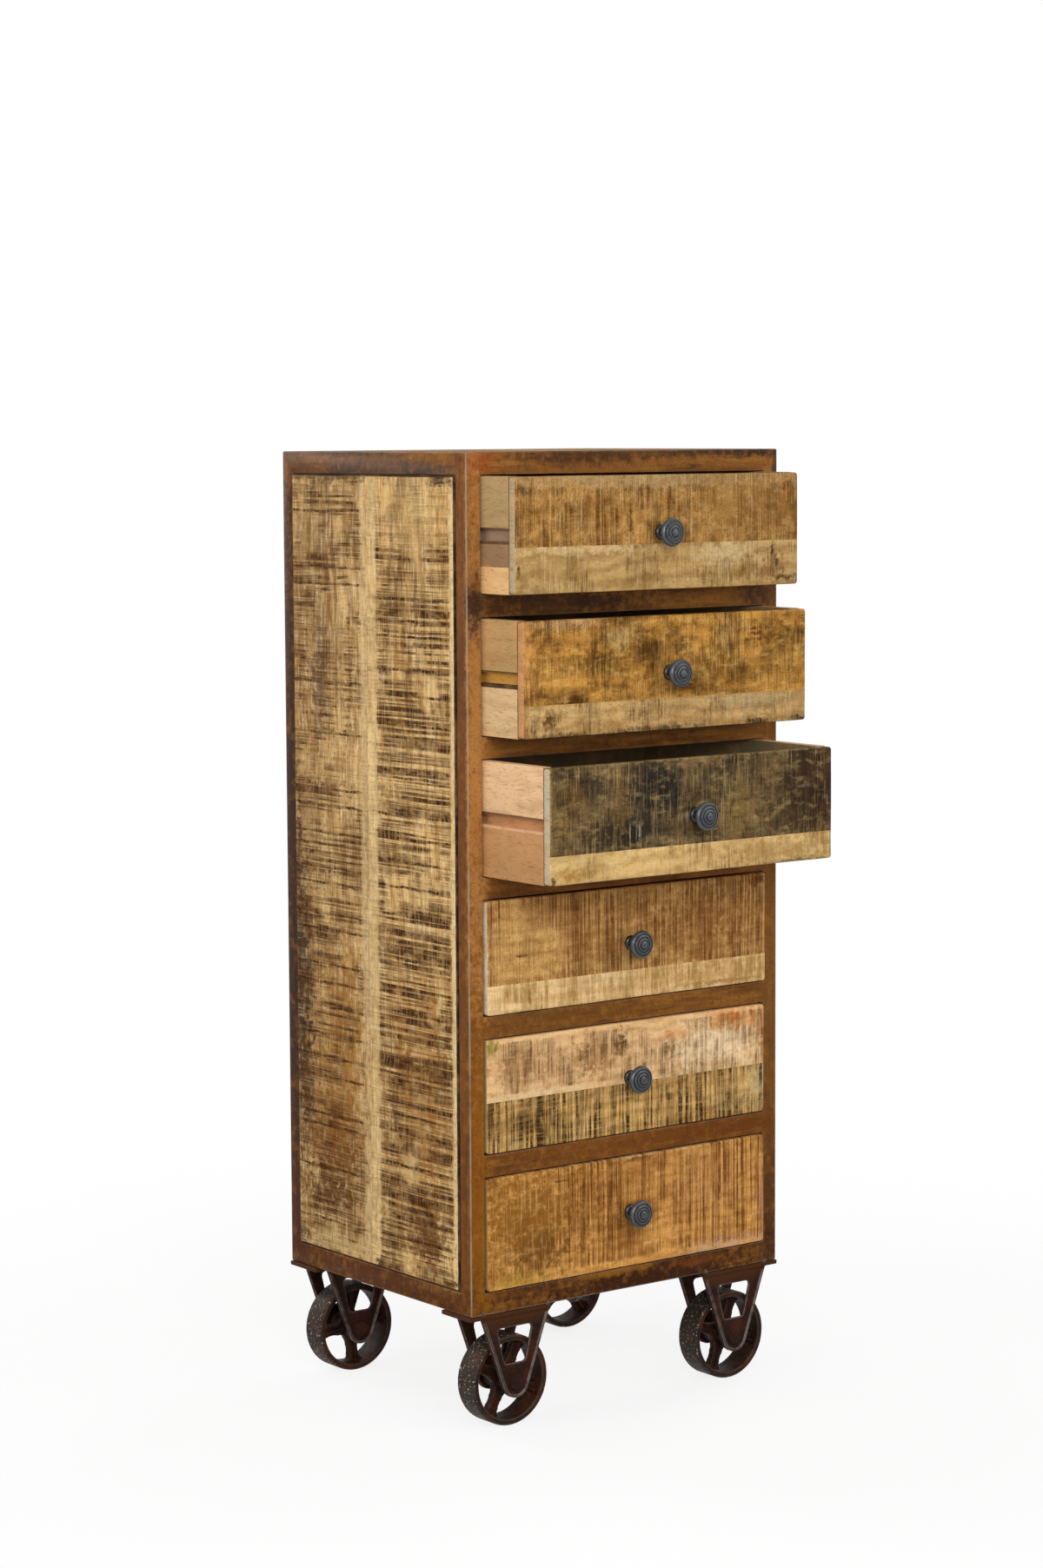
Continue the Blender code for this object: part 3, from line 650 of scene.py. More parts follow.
# Heights of the deepest saw lines on the two boards of a side, as shares from the top.
BACK_BOARD_SCORES = (0.046, 0.117, 0.138, 0.262, 0.328, 0.399, 0.42, 0.455, 0.47, 0.50, 0.52, 0.56, 0.58, 0.625, 0.648,
                     0.68, 0.716, 0.745, 0.77, 0.82, 0.835, 0.89, 0.958)
FRONT_BOARD_SCORES = (0.152, 0.179, 0.198, 0.239, 0.271, 0.307, 0.334, 0.364, 0.373, 0.419, 0.448, 0.478, 0.509, 0.545,
                      0.566, 0.60, 0.667, 0.69, 0.728, 0.818, 0.86)

side_low, side_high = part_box("panel_left")


def side_mango(part, scores, seed, pale, mid, dark, stains, heavy, bare, bands, crowns, **own):
    """The same wood on a side, with its grain upright."""
    return sawn_mango(f"sawn_mango_side_{part}_board", Z, seed, pale, mid, dark, stains=on_side(stains),
                      heavy=on_side(heavy), bare=on_side(bare), bands=on_side(bands), crowns=on_side(crowns),
                      scores=[side_high.z - v * (side_high.z - side_low.z) for v in scores], **own)


# The glue line's share of the side from the back.
GLUE_LINE = 0.475
glue_line = side_high.y - GLUE_LINE * (side_high.y - side_low.y)
side_back = side_mango(
    "back", BACK_BOARD_SCORES, 1.0, "#e2b978", "#bf9154", "#6a421a", saw="#3c210e", cover=0.50, patchy=0.43, depth=0.95,
    wax=0.12, bleed=0.60, mottling=0.55, streaks=0.45, fibre=0.75, brushed=0.36, light="#ecd3a0",
    crowns=[(0.18, 0.22, 84, 580, "#6b4824", 0.85)],
    stains=[(0.10, 0.10, 110, 190, "#8a6a3c", 0.55), (0.17, 0.26, 46, 190, "#5a4230", 0.80),
        (0.10, 0.45, 90, 260, "#937246", 0.55), (0.05, 0.68, 58, 460, "#21140f", 1.0),
        (0.02, 0.62, 30, 560, "#2d1d16", 0.95), (0.08, 0.80, 50, 110, "#3f2a1c", 0.80),
        (0.24, 0.86, 150, 170, "#6e3c10", 0.90), (0.28, 0.74, 150, 380, "#915c16", 0.70),
        (0.20, 0.92, 150, 60, "#4f2d14", 0.85), (0.03, 0.985, 34, 36, "#2b261c", 0.95),
        (0.25, 0.985, 170, 34, "#c4a871", 0.85), (0.22, 0.145, 40, 6, "#2f1d10", 1.0),
        (0.25, 0.005, 200, 16, "#4f3b22", 0.80)],
    heavy=[(0.20, 0.29, 70, 160), (0.36, 0.25, 40, 200), (0.20, 0.41, 150, 60), (0.20, 0.49, 140, 60),
        (0.10, 0.56, 90, 70), (0.25, 0.88, 130, 130), (0.06, 0.22, 40, 200)],
    bands=[(0.455, 0.50, 26, 2400, "#d8bc8c", 0.45)],
    bare=[(0.475, 0.5, 34, 2400, None, 0.8)])
side_front = side_mango(
    "front", FRONT_BOARD_SCORES, 7.0, "#f7d08c", "#daa962", "#774c1d", saw="#3b200d", lines=(4.6, 400), cover=0.47,
    patchy=0.32, depth=1.0, wax=0.06, bleed=0.52, mottling=0.45, streaks=0.45, fibre=0.75, brushed=0.36,
    light="#f0d8a6",
    crowns=[(0.71, 0.22, 100, 560, "#7a5830", 0.75)],
    stains=[(0.75, 0.05, 120, 110, "#c3a164", 0.60), (0.76, 0.80, 150, 420, "#a66c22", 0.65),
        (0.72, 0.86, 50, 90, "#cdae77", 0.80), (0.68, 0.73, 46, 60, "#6b4018", 0.80),
        (0.90, 0.73, 46, 70, "#66401c", 0.65), (0.82, 0.94, 90, 110, "#55290c", 0.90),
        (0.60, 0.95, 60, 90, "#6b5130", 0.70), (0.62, 0.79, 20, 70, "#33241a", 0.85),
        (0.92, 0.006, 60, 24, "#30201a", 1.0), (0.95, 0.992, 40, 12, "#33210f", 0.95),
        (0.53, 0.993, 22, 22, "#2f2013", 1.0)],
    heavy=[(0.57, 0.235, 34, 44), (0.80, 0.20, 80, 40), (0.78, 0.335, 120, 60), (0.75, 0.40, 140, 90),
        (0.80, 0.56, 120, 50), (0.68, 0.61, 70, 50), (0.80, 0.73, 120, 70), (0.62, 0.85, 40, 50),
        (0.92, 0.85, 50, 110), (0.85, 0.95, 100, 100)],
    # The pale band along the front edge, with the bare strip there, is the paler planed edge and partly a painted
    # highlight on it.
    bands=[(0.515, 0.50, 30, 2400, "#d6bc8a", 0.40), (0.99, 0.50, 14, 2400, "#e0c594", 0.90)],
    bare=[(0.50, 0.5, 26, 2400, None, 0.8), (1.0, 0.5, 22, 2400), (0.75, 0.03, 240, 150, None, 0.75)])
for side in ("left", "right"):
    low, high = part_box(f"panel_{side}")
    middle = (low.x + high.x) / 2
    gap = Vector((0, SIDE_GAP, SIDE_GAP))
    panel = board(f"side_panel_{side}", low + gap, high - gap, ease=0.0014, cell=0.016, roughness=SAWN, axis=Y,
                  seams=(glue_line,))
    coat(panel, [side_front, side_back, painted_gap_shade], Y, (glue_line,))
    # The panel's edge faces, in the gap, take the same painted shade.
    recoat(panel, 2, lambda face: abs(face.normal.x) < 0.1)
    panel = tongued(panel, low, high, X, middle - SIDE_TONGUE / 2, middle + SIDE_TONGUE / 2)
    fit(panel, "case", "side_wood", f"panel_{side}")


def glued_panel(name, slot, grain, across, through, shares, tones, seed, ease, cell, tongue, **own):
    """A panel of boards glued side by side, each with its own three tones. The seams lie at shares of its size
    across; the tongue lies between two depths through it."""
    low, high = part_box(f"panel_{name}")
    seams = [low[across] + share * (high[across] - low[across]) for share in shares]
    woods = [sawn_mango(f"sawn_mango_{name}_board_{i + 1}", grain, seed + 6 * i, *tone, wax=0.2, **own)
             for i, tone in enumerate(tones)]
    panel = board(f"{name}_panel", low, high, ease=ease, cell=cell, roughness=HALF_PLANED, axis=across, seams=seams)
    coat(panel, woods, across, seams)
    panel = tongued(panel, low, high, through, low[through] + tongue[0], low[through] + tongue[1])
    fit(panel, "case", slot, f"panel_{name}")


glued_panel("top", "side_wood", X, Y, Z, (0.34, 0.66), (("#dcb67b", "#bd9157", "#6c451e"),
            ("#c89c5e", "#a97c40", "#5f3d1a"), ("#e6c084", "#c89a5c", "#754c22")), seed=21.0, ease=0.0015,
            cell=0.016, tongue=(0.003, 0.011), patchy=0.48)
glued_panel("back", "inner_wood", Z, X, Y, (0.32, 0.67), (("#dab47a", "#b98e56", "#6c4722"),
            ("#ebc78e", "#cfa268", "#7c552c"), ("#c79d62", "#a87d46", "#60401e")), seed=41.0, ease=0.0012,
            cell=0.020, tongue=(0.003, 0.009), patchy=0.50, depth=0.8)

# The floor of the case and the runners keep the shape of their solids.
plain_mango = sawn_mango("sawn_mango_hidden_parts", Y, 61.0, "#b3905a", "#98734a", "#654628", depth=0.4,
                         mottling=0.3)
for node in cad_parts:
    if node.startswith("runner_") or node == "panel_bottom":
        coat(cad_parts[node], [plain_mango])


# Drawer fronts.

FRONT_WOOD = {"streaks": 0.08, "fibre": 0.12, "figured": 0.45, "pored": 0.16, "brushed": 0.44, "wax": 0.20,
              "unbroken": (0.72, 0.45), "worn": 0.45}


def front_mango(number, part, seed, pale, mid, dark, stains=(), heavy=(), bare=(), bands=(), **own):
    """The same wood on a drawer front: the grain lies flat and shows little, and the saw lines stand upright."""
    return sawn_mango(f"sawn_mango_front_{number}{part}", X, seed, pale, mid, dark, stains=on_front(number, stains),
                      heavy=on_front(number, heavy), bare=on_front(number, bare), bands=on_front(number, bands),
                      **{**FRONT_WOOD, **own})


one_board_front = front_mango(
    6, "", 171.0, "#eaac5b", "#cf9046", "#7d4a1a", saw="#60300f", lines=(3.4, 420), cover=0.50, patchy=0.34, depth=0.90,
    wax=0.10, bleed=0.30, mottling=0.8, unbroken=(0.85, 0.50), light="#f0bd76",
    stains=[(0.14, 0.40, 240, 170, "#7c5010", 0.85), (0.18, 0.72, 110, 70, "#553810", 0.80),
        (0.12, 0.93, 120, 30, "#b08a38", 0.70), (0.80, 0.35, 170, 120, "#e2a664", 0.60),
        (0.85, 0.97, 170, 36, "#cda07a", 0.85), (0.99, 0.60, 26, 120, "#c08660", 0.80),
        (0.255, 0.12, 26, 4, "#33210f", 1.0), (0.52, 0.03, 60, 10, "#5a3d1a", 0.80),
        (0.97, 0.35, 6, 70, "#5a3418", 0.70), (0.02, 0.03, 30, 16, "#7a4a1c", 0.70),
        (0.60, 0.0, 520, 7, "#dcae74", 0.80), (1.0, 0.55, 9, 220, "#d49c74", 0.85)],
    heavy=[(0.45, 0.40, 26, 200), (0.38, 0.75, 16, 110), (0.55, 0.25, 16, 130), (0.72, 0.35, 120, 120, None, 0.8),
        (0.10, 0.80, 90, 60, None, 0.7)],
    bare=[(0.5, 1.0, 700, 24), (0.10, 0.35, 170, 150, None, 0.6)])
# For each drawer: the seam's share of the height from the top, the upper board, the lower board.
front_boards = {
    1: (0.60, front_mango(
        1, "_upper", 101.0, "#cf9b52", "#b07d40", "#663f17", saw="#4c290c", lines=(2.6, 200), cover=0.46, patchy=0.36,
        depth=0.85, wax=0.10, bleed=0.25, brushed=0.60, light="#e0bb80",
        stains=[(0.50, 0.04, 620, 34, "#a98d60", 0.85), (0.03, 0.12, 22, 18, "#4d4430", 0.90),
            (0.95, 0.25, 50, 60, "#8f5c22", 0.80), (0.94, 0.42, 34, 26, "#6a4a26", 0.70),
            (0.78, 0.36, 260, 150, "#8a6433", 0.65), (0.005, 0.45, 9, 60, "#54412a", 0.80)],
        heavy=[(0.16, 0.36, 50, 46), (0.31, 0.34, 34, 60), (0.39, 0.38, 16, 50), (0.08, 0.40, 40, 40, None, 0.7),
            (0.62, 0.35, 60, 40, None, 0.5), (0.23, 0.36, 140, 70, None, 0.7)],
        bare=[(0.50, 0.0, 900, 34), (0.80, 0.35, 190, 110, None, 0.5)]), front_mango(
        1, "_lower", 108.0, "#c6a268", "#b48c50", "#7c5728", saw="#5d3a18", lines=(3.4, 90), cover=0.48, patchy=0.52,
        depth=0.85, rings=0.45,
        stains=[(0.25, 0.63, 260, 14, "#d6b781", 0.90), (0.17, 0.80, 130, 40, "#ad8a4d", 0.70),
            (0.74, 0.70, 110, 44, "#d2b684", 0.85), (0.905, 0.69, 9, 22, "#2f1a12", 1.0),
            (0.92, 0.78, 12, 16, "#40241a", 0.95), (0.95, 0.93, 34, 10, "#2f1f14", 0.95),
            (0.87, 0.77, 9, 6, "#4a2a18", 0.95), (0.985, 0.93, 12, 8, "#2f1f14", 0.95),
            (0.012, 0.80, 6, 22, "#33240f", 0.95), (0.88, 0.88, 90, 24, "#86603a", 0.80)],
        heavy=[(0.44, 0.80, 22, 60), (0.485, 0.80, 10, 60), (0.66, 0.88, 60, 26, None, 0.7),
            (0.90, 0.80, 60, 50, None, 0.8)])),
    2: (0.72, front_mango(
        2, "_upper", 115.0, "#d59a48", "#aa702a", "#4c2b08", saw="#462809", lines=(3.0, 60), cover=0.49, patchy=0.42,
        depth=0.75, mottling=1.0, brushed=0.55, worn=0.70, light="#e0b76a",
        stains=[(0.0, 0.40, 44, 260, "#d0904e", 0.90), (0.15, 0.03, 150, 20, "#cf9f72", 0.85),
            (0.32, 0.17, 70, 34, "#c9a468", 0.75), (0.25, 0.37, 110, 36, "#5f3d14", 0.75),
            (0.42, 0.28, 34, 44, "#5b3a14", 0.75), (0.54, 0.27, 34, 34, "#4f3212", 0.80),
            (0.71, 0.20, 44, 60, "#cba364", 0.70), (0.80, 0.15, 30, 7, "#653415", 0.95),
            (0.81, 0.20, 30, 7, "#653415", 0.95), (0.82, 0.25, 26, 6, "#653415", 0.90),
            (0.64, 0.45, 70, 44, "#6b4416", 0.75), (0.90, 0.45, 90, 90, "#a87c38", 0.60),
            (0.88, 0.18, 60, 40, "#6a4216", 0.70)]), front_mango(
        2, "_lower", 122.0, "#d8b070", "#bd9256", "#74502a", saw="#55341a", lines=(3.2, 60), cover=0.48, patchy=0.50,
        depth=0.85, figured=0.8, streaks=0.2,
        stains=[(0.08, 0.87, 20, 22, "#6b4016", 0.95), (0.0, 0.86, 16, 60, "#a87c44", 0.85),
            (0.035, 0.92, 16, 34, "#54421c", 0.90), (0.82, 0.985, 60, 14, "#30270f", 1.0),
            (0.97, 0.985, 40, 14, "#2f2416", 1.0), (0.45, 0.985, 190, 12, "#4a3a1c", 0.95),
            (0.12, 0.99, 90, 9, "#4a371a", 0.90), (0.78, 0.80, 180, 26, "#a8946a", 0.75)],
        heavy=[(0.44, 0.80, 60, 40), (0.38, 0.83, 30, 30), (0.10, 0.84, 40, 30)])),
    3: (0.75, front_mango(
        3, "_upper", 129.0, "#816640", "#5f4a2f", "#221b16", saw="#1a1511", lines=(5, 70), cover=0.48, patchy=0.46,
        depth=0.65, mottling=1.0, rings=0.2, brushed=0.60, figured=0.4, worn=0.70, light="#b49864",
        bands=[(0.37, 0.24, 130, 90, "#1e1f20", 0.95), (0.27, 0.60, 180, 54, "#22211e", 0.92),
            (0.93, 0.36, 130, 190, "#3a2516", 0.90), (0.14, 0.20, 70, 50, "#2f2a24", 0.60)],
        stains=[(0.36, 0.30, 90, 80, "#1b1918", 0.70), (0.13, 0.18, 90, 34, "#2d2820", 0.60),
            (0.90, 0.35, 140, 150, "#3b2718", 0.60), (0.28, 0.62, 90, 44, "#28241e", 0.60),
            (0.05, 0.40, 34, 90, "#8e7038", 0.80), (0.66, 0.52, 60, 60, "#7c6230", 0.75),
            (0.24, 0.40, 26, 80, "#75592a", 0.65), (0.47, 0.50, 40, 10, "#8f877a", 0.85),
            (0.305, 0.60, 4, 30, "#a8a69c", 0.75), (0.272, 0.58, 3, 30, "#a09e94", 0.70),
            (0.89, 0.33, 44, 5, "#7a6a54", 0.70), (0.5, 0.0, 700, 5, "#8f7d50", 0.90),
            (0.0, 0.45, 7, 160, "#a08b5c", 0.90), (0.56, 0.20, 60, 50, "#3a3020", 0.80),
            (0.07, 0.22, 60, 60, "#6e4d24", 0.75), (0.17, 0.62, 70, 60, "#3a2a18", 0.75),
            (0.80, 0.55, 90, 60, "#40341f", 0.70), (0.62, 0.25, 70, 70, "#665232", 0.65)]), front_mango(
        3, "_lower", 136.0, "#e6c283", "#d2a966", "#94703a", saw="#7a5420", lines=(3.4, 60), cover=0.49, patchy=0.48,
        depth=0.8,
        stains=[(0.08, 0.93, 60, 20, "#a8702c", 0.85), (0.85, 0.99, 160, 9, "#5f5030", 0.90),
            (0.78, 0.87, 210, 34, "#a9834a", 0.85), (0.01, 0.97, 12, 16, "#3a2c14", 0.90)])),
    4: (0.745, front_mango(
        4, "_upper", 143.0, "#d6a663", "#b98948", "#78491c", saw="#5a2e10", lines=(2.8, 300), cover=0.48, patchy=0.32,
        depth=0.85, wax=0.10, bleed=0.30, rings=0.22, unbroken=(0.75, 0.45), light="#e8c080",
        stains=[(0.97, 0.06, 44, 24, "#54240c", 1.0), (0.12, 0.50, 24, 5, "#432412", 1.0),
            (0.74, 0.38, 210, 100, "#855a2c", 0.70), (0.02, 0.12, 14, 30, "#a85a28", 0.80),
            (0.0, 0.5, 3, 400, "#e2d6c2", 0.95), (0.45, 0.66, 130, 20, "#b3945a", 0.60)],
        heavy=[(0.48, 0.15, 160, 50, None, 0.9), (0.78, 0.30, 130, 80, None, 0.9), (0.22, 0.55, 60, 60, None, 0.7)],
        bare=[(0.13, 0.40, 130, 110, None, 0.55)]), front_mango(
        4, "_lower", 150.0, "#ffdfa8", "#fac88c", "#b88848", saw="#94702f", lines=(4.6, 90), cover=0.46, patchy=0.36,
        depth=0.75, worn=0.20,
        stains=[(0.83, 0.95, 150, 8, "#5f4a24", 0.90), (0.145, 0.88, 7, 28, "#6d4518", 0.95),
            (0.0, 0.85, 3, 100, "#e2d6c2", 0.95), (0.07, 0.84, 26, 26, "#b58f54", 0.60),
            (0.80, 0.87, 210, 44, "#c2945a", 0.75)],
        heavy=[(0.42, 0.86, 140, 40)])),
    5: (0.55, front_mango(
        5, "_upper", 157.0, "#f2c891", "#dfae74", "#a5713a", saw="#5a3b1c", lines=(3.4, 110), cover=0.47, patchy=0.40,
        depth=0.8, mottling=0.25, brushed=0.30, light="#f7d6a2",
        stains=[(0.16, 0.28, 170, 60, "#bd9064", 0.75), (0.38, 0.25, 80, 60, "#a87c4a", 0.75),
            (0.80, 0.30, 220, 80, "#fbe0b6", 0.88), (0.47, 0.18, 30, 44, "#493a1a", 1.0),
            (0.67, 0.16, 60, 18, "#dd9a5c", 0.75), (0.645, 0.16, 12, 16, "#cc7632", 0.80),
            (0.87, 0.10, 90, 34, "#dc8e48", 0.85), (0.835, 0.09, 14, 30, "#cc702c", 0.80),
            (0.895, 0.08, 22, 26, "#cc702c", 0.80), (0.955, 0.10, 12, 40, "#cc702c", 0.75),
            (0.985, 0.20, 14, 60, "#c07038", 0.80), (0.015, 0.07, 34, 26, "#8f8432", 0.95),
            (0.15, 0.52, 260, 14, "#dcc08c", 0.90), (0.70, 0.54, 200, 12, "#dec493", 0.80)],
        heavy=[(0.15, 0.28, 140, 44, None, 0.9), (0.36, 0.28, 80, 50), (0.62, 0.32, 90, 44)],
        bare=[(0.5, 0.0, 800, 16), (0.2, 0.54, 400, 14)]), front_mango(
        5, "_lower", 164.0, "#f2c47a", "#d6a556", "#7a5220", saw="#2e1d0e", lines=(4.2, 200), cover=0.47,
        unbroken=(0.62, 0.32), mottling=0.7, patchy=0.30, depth=0.95, wax=0.08, bleed=0.40,
        stains=[(0.98, 0.70, 50, 90, "#c3ae7c", 0.85), (0.86, 0.85, 60, 40, "#b79a60", 0.60)],
        heavy=[(0.40, 0.78, 260, 70), (0.76, 0.72, 60, 60)])),
    6: (0.5, one_board_front, one_board_front),
}
end_tints = {1: "#b3a07a", 2: "#c68f5c", 3: "#bdb193", 4: "#d8c8ac", 5: "#a58a58", 6: "#a07c48"}
for number in DRAWERS:
    share, upper, lower = front_boards[number]
    low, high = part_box(f"drawer_front_{number}")
    seam = high.z - share * (high.z - low.z)
    face = board(f"drawer_face_{number}", low, high, ease=0.0018, cell=0.012, roughness=SAWN, axis=Z, seams=(seam,),
                 corner=0.004)
    ends = planed_mango(f"sawn_mango_end_grain_{number}", 240.0 + number, ((0, end_tints[number]),))
    coat(face, [lower, upper, ends], Z, (seam,))
    recoat(face, 2, lambda side: abs(side.normal.x) > 0.8)
    fit(face, f"drawer_{number}", f"drawer_wood_{number}", f"drawer_front_{number}")


# Drawer boxes: one section, drawn out to the thickness of the back, then drawn out again as sides and floor.

low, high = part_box("drawer_box_1")
half = high.x
middle_z = (low.z + high.z) / 2
groove = (middle_z - GROOVE_HEIGHT / 2, middle_z + GROOVE_HEIGHT / 2)
floor_z = low.z + DRAWER_FLOOR
bpy.ops.mesh.primitive_plane_add(size=1, location=(0, high.y, middle_z), rotation=(math.pi / 2, 0, 0))
bpy.context.object.scale = (2 * half, high.z - low.z, 1)
drawer_box = named("drawer_box")
edit(drawer_box)
slice_at(X, (GROOVE_DEPTH - half, DRAWER_WALL - half, half - DRAWER_WALL, half - GROOVE_DEPTH))
slice_at(Z, (floor_z, *groove))
pick(lambda middle, normal: abs(middle.x) > half - GROOVE_DEPTH and groove[0] < middle.z < groove[1])
bpy.ops.mesh.delete(type="FACE")
bpy.ops.mesh.select_all(action="SELECT")
pull((0, -DRAWER_WALL, 0))
pick(lambda middle, normal: abs(middle.y - high.y + DRAWER_WALL) < 1e-5 and abs(normal.y) > 0.9
     and (abs(middle.x) > half - DRAWER_WALL or middle.z < floor_z))
pull((0, low.y - high.y + DRAWER_WALL, 0))
bpy.ops.mesh.select_all(action="SELECT")
bpy.ops.mesh.normals_make_consistent(inside=False)
bpy.ops.mesh.dissolve_limited(angle_limit=math.radians(2))
close()
shape_by(drawer_box, "BEVEL", width=0.0007, segments=2, limit_method="ANGLE", angle_limit=math.radians(40))
smooth_below(drawer_box, 40)

# Strips of each drawer's sides, from the bottom: share of the height, colour. On drawers 1 to 3 the thin dark strips at
# the groove's edges are painted shade, and drawer 3's light strip just under its groove is a painted highlight.
side_strips_with_painted_groove_light = {
    1: ((0, "#dcb076"), (0.23, "#8a6a4c"), (0.425, "#3f2a20"), (0.45, "#8f7460"), (0.545, "#4a3524"),
        (0.565, "#a98d60")),
    2: ((0, "#d0ae80"), (0.42, "#352414"), (0.455, "#b58338"), (0.55, "#5a4022"), (0.565, "#ad8a58")),
    3: ((0, "#b58556"), (0.43, "#cfa078"), (0.455, "#b07a52"), (0.55, "#5f3f28"), (0.565, "#dfb68a")),
    4: ((0, "#c8a272"), (0.38, "#b08c60")),
    5: ((0, "#bd9668"), (0.55, "#cdab7c")),
    6: ((0, "#b59265"), (0.30, "#c8a472")),
}
# Faces this near to the inside of a drawer count as inside.
SLACK = 0.0003
dusty_inside = planed_mango("planed_mango_grey_with_dust", 320.0, ((0, "#6f6045"),))
for number in DRAWERS:
    low_n, high_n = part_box(f"drawer_box_{number}")
    box = copy_of(drawer_box, f"drawer_sides_{number}", Matrix.Translation(low_n - low))
    strips = [(low_n.z + share * (high_n.z - low_n.z), tint) for share, tint in side_strips_with_painted_groove_light[number]]
    coat(box, [planed_mango(f"planed_mango_drawer_{number}", 200.0 + 5 * number, strips), dusty_inside])
    recoat(box, 1, lambda wall: abs(wall.center.x) < half - DRAWER_WALL + SLACK
           and wall.center.y < high_n.y - DRAWER_WALL + SLACK
           and low_n.z + DRAWER_FLOOR - SLACK < wall.center.z < high_n.z - SLACK)
    fit(box, f"drawer_{number}", "inner_wood", f"drawer_box_{number}")
bpy.data.objects.remove(drawer_box)


# Knobs, turned: (radius, distance from the board) in millimetres, from the board to the button.

KNOB_TURNING = ((8.5, 0.3), (8.5, 2.2), (7.8, 3.2), (5.9, 4.0), (5.1, 6.0), (5.0, 11.0), (5.7, 14.0), (9.0, 16.0),
                (14.0, 17.2), (15.6, 18.4), (16.0, 20.0), (15.6, 21.6), (14.4, 22.8), (13.0, 23.2), (12.4, 22.3),
                (11.7, 22.3), (11.1, 23.7), (9.4, 24.3), (8.7, 23.3), (8.0, 23.3), (7.4, 24.5), (6.0, 24.8),
                (5.3, 23.9), (4.7, 24.0), (4.4, 25.2), (3.3, 25.8), (1.6, 26.0))
# The raised rings that hands rub: radii and width in metres, and how bare the metal gets.
KNOB_RINGS = (0.0160, 0.0140, 0.0104, 0.0069, 0.0030)
RING_WIDTH = 0.0016
RING_RUB = 0.22


def turn(name, profile, steps, closed):
    """A turned piece about an axis along -Y: a ring drawn out along its profile, in millimetres."""
    first, start = profile[0]
    bpy.ops.mesh.primitive_circle_add(vertices=steps, radius=first / 1000, fill_type="NOTHING" if closed else "NGON",
                                      location=(0, -start / 1000, 0), rotation=(math.pi / 2, 0, 0))
    piece = named(name)
    edit(piece)
    bpy.ops.mesh.select_mode(type="EDGE")
    bpy.ops.mesh.select_all(action="SELECT")
    for (radius, out), (wider, further) in zip(profile, profile[1:] + (profile[:1] if closed else ())):
        bpy.ops.mesh.extrude_region_move(TRANSFORM_OT_translate={"value": (0, (out - further) / 1000, 0)})
        bpy.ops.transform.resize(value=(wider / radius, 1, wider / radius), center_override=(0, 0, 0))
    bpy.ops.mesh.select_all(action="SELECT")
    bpy.ops.mesh.remove_doubles(threshold=0.00001)
    bpy.ops.mesh.normals_make_consistent(inside=False)
    close()
    return piece


knob_iron = turned_knob_iron("turned_blue_black_iron")
knob = turn("knob", KNOB_TURNING, steps=56, closed=False)
mark(knob, "rubbed", lambda point: RING_RUB * any(abs(math.hypot(point.co.x, point.co.z) - ring) < RING_WIDTH / 2
                                                  for ring in KNOB_RINGS))
smooth_below(knob, 45)
for number in DRAWERS:
    low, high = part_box(f"drawer_front_{number}")
    handle = copy_of(knob, f"knob_{number}", Matrix.Translation((0, low.y, (low.z + high.z) / 2)))
    coat(handle, [knob_iron])
    fit(handle, f"drawer_{number}", "knob_iron", f"drawer_knob_{number}")
bpy.data.objects.remove(knob)


# Wheels: rim, hub and ribbed spokes, run together as a casting.

RIM_TURNING = ((45.4, -16.0), (50.6, -16.0), (51.4, -15.4), (51.9, -14.2), (51.9, 14.2), (51.4, 15.4), (50.6, 16.0),
               (45.4, 16.0), (44.6, 15.0), (43.9, 8.0), (43.7, 0.0), (43.9, -8.0), (44.6, -15.0))
HUB_TURNING = ((6.3, -20.6), (11.6, -20.6), (12.8, -19.4), (13.2, -10.0), (15.0, -4.0), (15.0, 4.0), (13.2, 10.0),
               (12.8, 19.4), (11.6, 20.6), (6.3, 20.6))
# A spoke in metres from the axle: its ends, half its depth and width, its cuts and its rib. Flares, as distance and
# factor, say how much wider it gets towards hub and rim.
SPOKE_START, SPOKE_END = 0.010, 0.0462
SPOKE_HALF_DEPTH, SPOKE_HALF_WIDTH = 0.0045, 0.0062
SPOKE_CUTS = (0.015, 0.019, 0.026, 0.033, 0.039, 0.043)
RIB_WIDTH, RIB_HEIGHT = 0.0036, 0.0035
SPOKE_FLARES = ((0.010, 1.7), (0.015, 1.45), (0.019, 1.15), (0.039, 1.15), (0.043, 1.6), (0.0462, 2.3))
TREAD_RADIUS = 0.0502

# The height of a bracket's head under the rail, the radius of its pin's head and the depth of its rim's flat, in
# metres, and how bare the flat is rubbed on the right and on the left.
BRACKET_HEAD = 0.008
PIN_HEAD = 0.013
RIM_FLAT = 0.0008
RIGHT_RUB, LEFT_RUB = 0.75, 0.25


def soften(piece, voxel, passes, keep):
    """Runs the forms of a casting together, with soft edges, and thins the mesh again."""
    shape_by(piece, "REMESH", mode="VOXEL", voxel_size=voxel)
    shape_by(piece, "SMOOTH", factor=0.5, iterations=passes)
    shape_by(piece, "DECIMATE", ratio=keep)
    take(piece)
    bpy.ops.object.shade_smooth()


def rub_ridges(piece, reach, axle=None, face=0.0, top=0.0):
    """Marks the ridges of a casting, where it stands out from the points round it. On a bracket the flat of the
    rim is rubbed too, more on the right, but not the head of the axle or the plate under the rail."""
    shape = bmesh.new()
    shape.from_mesh(piece.data)
    stand = []
    for point in shape.verts:
        round_it = [edge.other_vert(point).co for edge in point.link_edges]
        average = sum(round_it, Vector()) / len(round_it)
        rubbed = min(1.0, max(0.0, (point.co - average).dot(point.normal) / reach))
        if axle:
            out = point.co - axle
            if point.co.z > top - BRACKET_HEAD or math.hypot(out.x, out.z) < PIN_HEAD:
                rubbed = 0.0
            elif point.co.y < face + RIM_FLAT and point.normal.y < -0.6:
                rubbed = max(rubbed, RIGHT_RUB if out.x > 0 else LEFT_RUB)
        stand.append(rubbed)
    shape.free()
    mark(piece, "rubbed", lambda point: stand[point.index])


